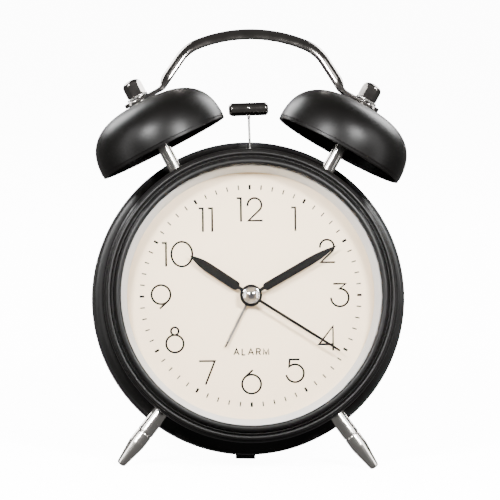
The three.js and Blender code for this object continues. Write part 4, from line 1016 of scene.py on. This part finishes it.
def addHammer(h):
    # A chamfered barrel on a thin wire; the wire's hub turns on the pin and its fork hangs to the crank.
    lean = tiltedAxes(math.radians(h["lean"]))
    pivot = np.array([0, 0, h["pivotZ"]])
    headAt = pivot + lean @ np.array([0, 0, h["headZ"]])
    headAxes = lean @ np.array([[0, 0, 1.0], [0, 1, 0], [1, 0, 0]])  # turned about the clock's X
    r, shoulder, slope = h["radius"], h["radius"] - h["chamfer"], h["half"] - h["chamfer"] * 1.3
    head = rounded([(0, -h["half"]), (shoulder, -h["half"], 0.15), (r, -slope, 0.2), (r, slope, 0.2),
                    (shoulder, h["half"], 0.15), (0, h["half"])])
    fine = np.concatenate([head[:6], np.linspace(head[6], head[7], 4)[1:-1], head[6:]])
    addPiece("hammer_barrel", lathe(fine, 96, headAt, headAxes), "gunmetal", body="hammer",
             stands=("hammer_head",), crease=26)
    t = np.linspace(0, np.pi / 2, 8)
    rivet = np.stack([h["rivet"] * np.cos(t), -r - h["rivetHigh"] * np.sin(t)], axis=1)
    rivet = np.concatenate([[(0, -r + 0.6), (h["rivet"], -r + 0.6)], rivet])
    rivetAt = headAt + lean @ np.array([0, 0, h["rivetUp"]])
    addPiece("hammer_rivet", lathe(rivet, 32, rivetAt), "bright_nickel", body="hammer")
    wireTop, collar = h["headZ"] - r + 0.2, h["wire"] + h["collar"]
    wire = rounded([(0, 0.9), (h["wire"], 0.9, 0.1), (h["wire"], wireTop - 1.3, 0.1),
                    (collar, wireTop - 1.0, 0.1), (collar, wireTop, 0.05), (0, wireTop)])
    hub = rounded([(h["bore"], h["hubFront"]), (h["hub"], h["hubFront"], 0.25), (h["hub"], h["hubRear"], 0.25),
                   (h["bore"], h["hubRear"])])
    forkRear = h["forkFront"] + h["forkThick"]
    prongs = [block(x0, x1, h["forkFront"], forkRear, h["forkEnd"], h["notchTop"] + h["lap"])
              for x0, x1 in ((-h["forkHalf"], -h["notchHalf"]), (h["notchHalf"], h["forkHalf"]))]
    yoke = block(-h["forkHalf"], h["forkHalf"], h["forkFront"], forkRear, h["notchTop"], h["forkTop"])
    plates = [(points @ lean.T + pivot, quads, uv) for points, quads, uv in (*prongs, yoke)]
    arm = together(lathe(wire, 24, pivot, lean), lathe(hub, 48, pivot, closed=True), *plates)
    addPiece("hammer_lever", arm, "zinc_steel", body="hammer", stands=("hammer_arm",), crease=30)


addHammer(hammer)
print("hammer made")

# Back of the clock.
shaftX = 12
cover = {"radius": 56.4, "frontY": 20.5, "rearY": 22.3, "shaftHole": 2.0, "screwHole": 1.5, "rimWidth": 1.6,
         "rimDrop": 0.5}
door = {
    "halfWidth": 26.2, "bottomZ": -44, "topZ": -15.4, "frontY": 20.6, "rearY": 22.1, "play": 0.4, "bevel": 0.3,
    "notch": 5, "notchDeep": 0.7, "ribs": 7, "ribLength": 14, "ribZ": -34, "ribPitch": 1.7, "ribHalf": 0.45,
    "ribHigh": 0.3, "ribShorter": 0.5,
}
alarmSwitch = {
    "z": 16, "travel": 3, "play": 0.3, "bevel": 0.14, "flangeX": 13, "flangeZ": 6, "flangeFront": 18.8,
    "flangePlay": 0.3, "stemX": 4, "stemZ": 3, "stemFront": 19.5, "gripX": 5.4, "gripZ": 4.2, "gripRear": 24.6,
    "ribPlaces": (-1.8, -0.6, 0.6, 1.8), "ribHalf": 0.28, "ribHalfZ": 1.9,
}


def addCover(k, d, s):
    # A disc with a stepped rim, opened for the door, the arbors, the screws and the switch.
    rim, step = k["rearY"] - k["rimDrop"], k["radius"] - k["rimWidth"]
    disc = rounded([
        (0, k["frontY"]), (k["radius"], k["frontY"], 0.15), (k["radius"], rim, 0.2), (step, rim, 0.15),
        (step - 0.3, k["rearY"], 0.15), (0, k["rearY"]),
    ])
    plate = addMesh("cover_plate", lathe(disc, 192))
    near, far, play = k["frontY"] - 1, k["rearY"] + 1, d["play"]
    doorway = addMesh("door_cut", block(-d["halfWidth"] - play, d["halfWidth"] + play, near, far,
                                        d["bottomZ"] - play, d["topZ"] + play))
    slotX, slotZ = (s["stemX"] + s["travel"]) / 2 + s["play"], s["stemZ"] / 2 + s["play"]
    slot = addMesh("switch_cut", slab(0, slotX, near, far, s["z"], slotZ))
    places = [(k["shaftHole"], 32, (x, 0, 0)) for x in (-shaftX, shaftX)]
    places += [(k["screwHole"], 24, bossPlace(angle)) for angle in bossAngles]
    holes = [lathe([(0, near), (r, near), (r, far), (0, far)], steps, at) for r, steps, at in places]
    plate = cutAway(plate, doorway, slot, addMesh("hole_cut", together(*holes)))
    addPiece("cover_plate", plate, "black_plastic", stands=("back_cover",), crease=30)


def addDoor(d):
    half, rear, floor = d["halfWidth"], d["rearY"], d["rearY"] - d["notchDeep"]
    leaf = addMesh("door_leaf", block(-half, half, d["frontY"], rear, d["bottomZ"], d["topZ"]))
    cutter = [(0, floor), (d["notch"], floor), (d["notch"], rear + 1), (0, rear + 1)]
    notch = addMesh("notch_cut", lathe(cutter, 48, (0, 0, d["topZ"])))
    leaf = bevelled(cutAway(leaf, notch), d["bevel"])
    addPiece("door_leaf", leaf, "black_plastic", body="battery_lid", stands=("battery_door",), crease=40)
    # Half-round grip ribs under the finger notch, the middle one longest.
    turn = np.linspace(0, np.pi, 9)
    ribs = []
    for i in range(d["ribs"]):
        z = d["ribZ"] + d["ribPitch"] * i
        half = d["ribLength"] / 2 - d["ribShorter"] * abs(i - (d["ribs"] - 1) / 2)
        grid = np.broadcast_arrays(np.linspace(-half, half, 3)[:, None],
                                   rear - 0.05 + d["ribHigh"] * np.sin(turn), z + d["ribHalf"] * np.cos(turn))
        ribs.append(sheet(capped(np.stack(grid, axis=-1))))
    addPiece("door_ribs", together(*ribs), "black_plastic", body="battery_lid")


knob = {
    "radius": 6.5, "flutes": 18, "fluteDepth": 0.35, "frontY": 23, "rearY": 28.8, "dish": 0.7, "bore": 1.5,
    "boreDepth": 4.9, "rim": 1.1, "dishEdge": 1.5, "barHalf": 3.9, "barThick": 0.7, "barBevel": 0.3,
}


def addKnob(name, x, body, stands, k):
    # Fluted barrel with a rounded rear edge and a dished face.
    r, front, rear, floor = k["radius"], k["frontY"], k["rearY"], k["rearY"] - k["dish"]
    boreEnd = front + k["boreDepth"]
    rows = rounded([
        (k["bore"], boreEnd), (k["bore"], front), (r - 0.1, front, 0.3), (r, front + 0.6, 0.3),
        (r, rear - 0.5, 0.5), (r - k["rim"], rear, 0.3), (r - k["dishEdge"], floor, 0.4), (0, floor),
    ])
    rows = np.concatenate([[(0, boreEnd)], rows])

    def at(radius, angle):
        depth = k["fluteDepth"] * (0.5 - 0.5 * np.cos(k["flutes"] * angle))
        return np.where(radius > r - 1.0, radius - depth, radius)

    barrel = fluted(rows, 10 * k["flutes"], at, (x, 0, 0))
    addPiece(name, barrel, "black_plastic", body=body, stands=stands, crease=35)
    # A bar across the dish to turn it by.
    grip = addMesh(f"{name}_bar", slab(x, k["barHalf"], floor - 0.1, rear - 0.15, 0, k["barThick"]))
    addPiece(f"{name}_bar", bevelled(grip, k["barBevel"]), "black_plastic", body=body)


marks = {
    "depth": 0.18, "width": 0.5, "sunk": 0.05, "lift": 0.004, "arcRadius": 8.6, "headLong": 1.5,
    "headHalf": 1.1, "headLead": 0.3, "signX": 19.5, "clockZ": 11.5, "clockRadius": 2.0, "bellZ": 10.4,
    "bellRadius": 1.35, "bellHigh": 1.1, "bellHalf": 2.1, "switchX": 9.0, "offRadius": 0.95, "onHalf": 1.1,
}


def arrowArc(x, start, end, m):
    # A curved arrow round a knob, with a two-stroke head at its end.
    line = arc((x, 0), m["arcRadius"], start, end, 24)
    step = (line[-1] - line[-2]) / np.linalg.norm(line[-1] - line[-2])
    side = m["headHalf"] * np.array([-step[1], step[0]])
    tail = line[-1] - m["headLong"] * step
    return [(line, False), ([tail + side, line[-1] + m["headLead"] * step, tail - side], False)]


def addMarks(m):
    # Raised signs moulded in the cover: turning arrows, a small clock, a small bell, on and off.
    # They are drawn as they read from behind, where the clock's right is the reader's left.
    x, z, switchX, switchZ = m["signX"], m["clockZ"], m["switchX"], alarmSwitch["z"]
    paths = arrowArc(-shaftX, 150, 30, m) + arrowArc(shaftX, 30, 150, m)
    paths += [(circle((-x, z), m["clockRadius"]), True), ([(-x, z + 1.3), (-x, z), (0.9 - x, z - 0.5)], False)]
    z = m["bellZ"]
    hood = arc((x, z + m["bellHigh"]), m["bellRadius"], 180, 0, 14)
    paths += [(np.concatenate([[(x - m["bellHalf"], z)], hood, [(x + m["bellHalf"], z)]]), True),
              (circle((x, z - 0.75), 0.3), True), (circle((switchX, switchZ), m["offRadius"]), True),
              ([(-switchX, switchZ - m["onHalf"]), (-switchX, switchZ + m["onHalf"])], False)]
    rear = cover["rearY"]
    raised = [stroke(path, m["width"], rear - m["sunk"], rear + m["depth"] + m["lift"] * i, closed)
              for i, (path, closed) in enumerate(paths)]
    addPiece("cover_signs", together(*raised), "white_plastic")


screw = {"proud": 0.3, "shank": 1.2, "length": 7.6, "head": 2.4, "edge": 0.5, "high": 1.2, "crossLong": 1.35,
         "crossWide": 0.3, "crossFloor": 0.45}


def addScrews(s):
    seat = cover["rearY"] + s["proud"]
    for i, angle in enumerate(bossAngles):
        place = bossPlace(angle)
        profile = rounded([
            (0, seat - s["length"]), (s["shank"], seat - s["length"], 0.3), (s["shank"], seat + 0.05),
            (s["head"], seat, 0.1), (s["head"], seat + s["edge"], 0.5), (1.2, seat + s["high"], 0.8),
            (0, seat + s["high"]),
        ])
        head = addMesh(f"screw_{i + 1}", lathe(profile, 48, place))
        halves = (s["crossLong"], s["crossWide"]), (s["crossWide"], s["crossLong"])
        cross = [addMesh("cross_cut", slab(place[0], halfX, seat + s["crossFloor"], seat + 2, place[2], halfZ))
                 for halfX, halfZ in halves]
        addPiece(f"screw_{i + 1}", cutAway(head, *cross), "zinc_steel", stands=(f"back_screw_{i + 1}",),
                 crease=30)


def addSwitch(s, k):
    # Flange inside the cover, stem through its slot and a ribbed grip outside.
    x, z, rear = -s["travel"] / 2, s["z"], k["rearY"]
    flange = slab(x, s["flangeX"] / 2, s["flangeFront"], k["frontY"] - s["flangePlay"], z, s["flangeZ"] / 2)
    stem = slab(x, s["stemX"] / 2, s["stemFront"], rear + 1.2, z, s["stemZ"] / 2)
    grip = slab(x, s["gripX"] / 2, rear + 0.3, s["gripRear"] - 0.3, z, s["gripZ"] / 2)
    ribs = [slab(x + dx, s["ribHalf"], rear + 0.9, s["gripRear"], z, s["ribHalfZ"]) for dx in s["ribPlaces"]]
    slider = addMesh("switch_slider", together(flange, stem, grip, *ribs))
    addPiece("switch_grip", bevelled(slider, s["bevel"], 2), "white_plastic", body="switch_slider",
             stands=("alarm_switch",), crease=35)


addCover(cover, door, alarmSwitch)
addDoor(door)
addKnob("time_dial", -shaftX, "time_setter", ("time_knob",), knob)
addKnob("alarm_dial", shaftX, "alarm_setter", ("alarm_knob",), knob)
addMarks(marks)
addScrews(screw)
addSwitch(alarmSwitch, cover)
print("back made")

battery = {"radius": 7.1, "length": 49, "nub": 2.7, "nubLength": 1.0, "y": 11.9, "lowerZ": -36.8,
           "upperZ": -22.2, "startX": -23.5}


def addBattery(row, z, side, b):
    # Sleeve with rolled ends, a metal base and a button contact at the positive end.
    origin = (side * b["startX"], b["y"], z)
    axes = np.array([[0, 0, side], [1, 0, 0], [0, 1, 0]], float)  # the cell lies along X
    r, n = b["radius"], b["length"]
    sleeve = rounded([(0, 0.25), (r - 1.5, 0.25), (r - 1.2, 0, 0.1), (r, 0, 0.5), (r, n, 0.5),
                      (r - 1.2, n, 0.1), (r - 1.6, n - 0.3), (0, n - 0.3)])
    addPiece(f"cell_{row}", lathe(sleeve, 72, origin, axes), "battery_sleeve", stands=(f"battery_{row}",))
    nub, tip = b["nub"], n + b["nubLength"]
    button = rounded([(0, n - 0.35), (nub + 1.2, n - 0.35), (nub + 1.1, n - 0.1, 0.2), (nub, n, 0.2),
                      (nub, tip, 0.4), (0, tip)])
    addPiece(f"cell_button_{row}", lathe(button, 48, origin, axes), "spring_wire")


addBattery("lower", battery["lowerZ"], 1, battery)
addBattery("upper", battery["upperZ"], -1, battery)
print("batteries made")
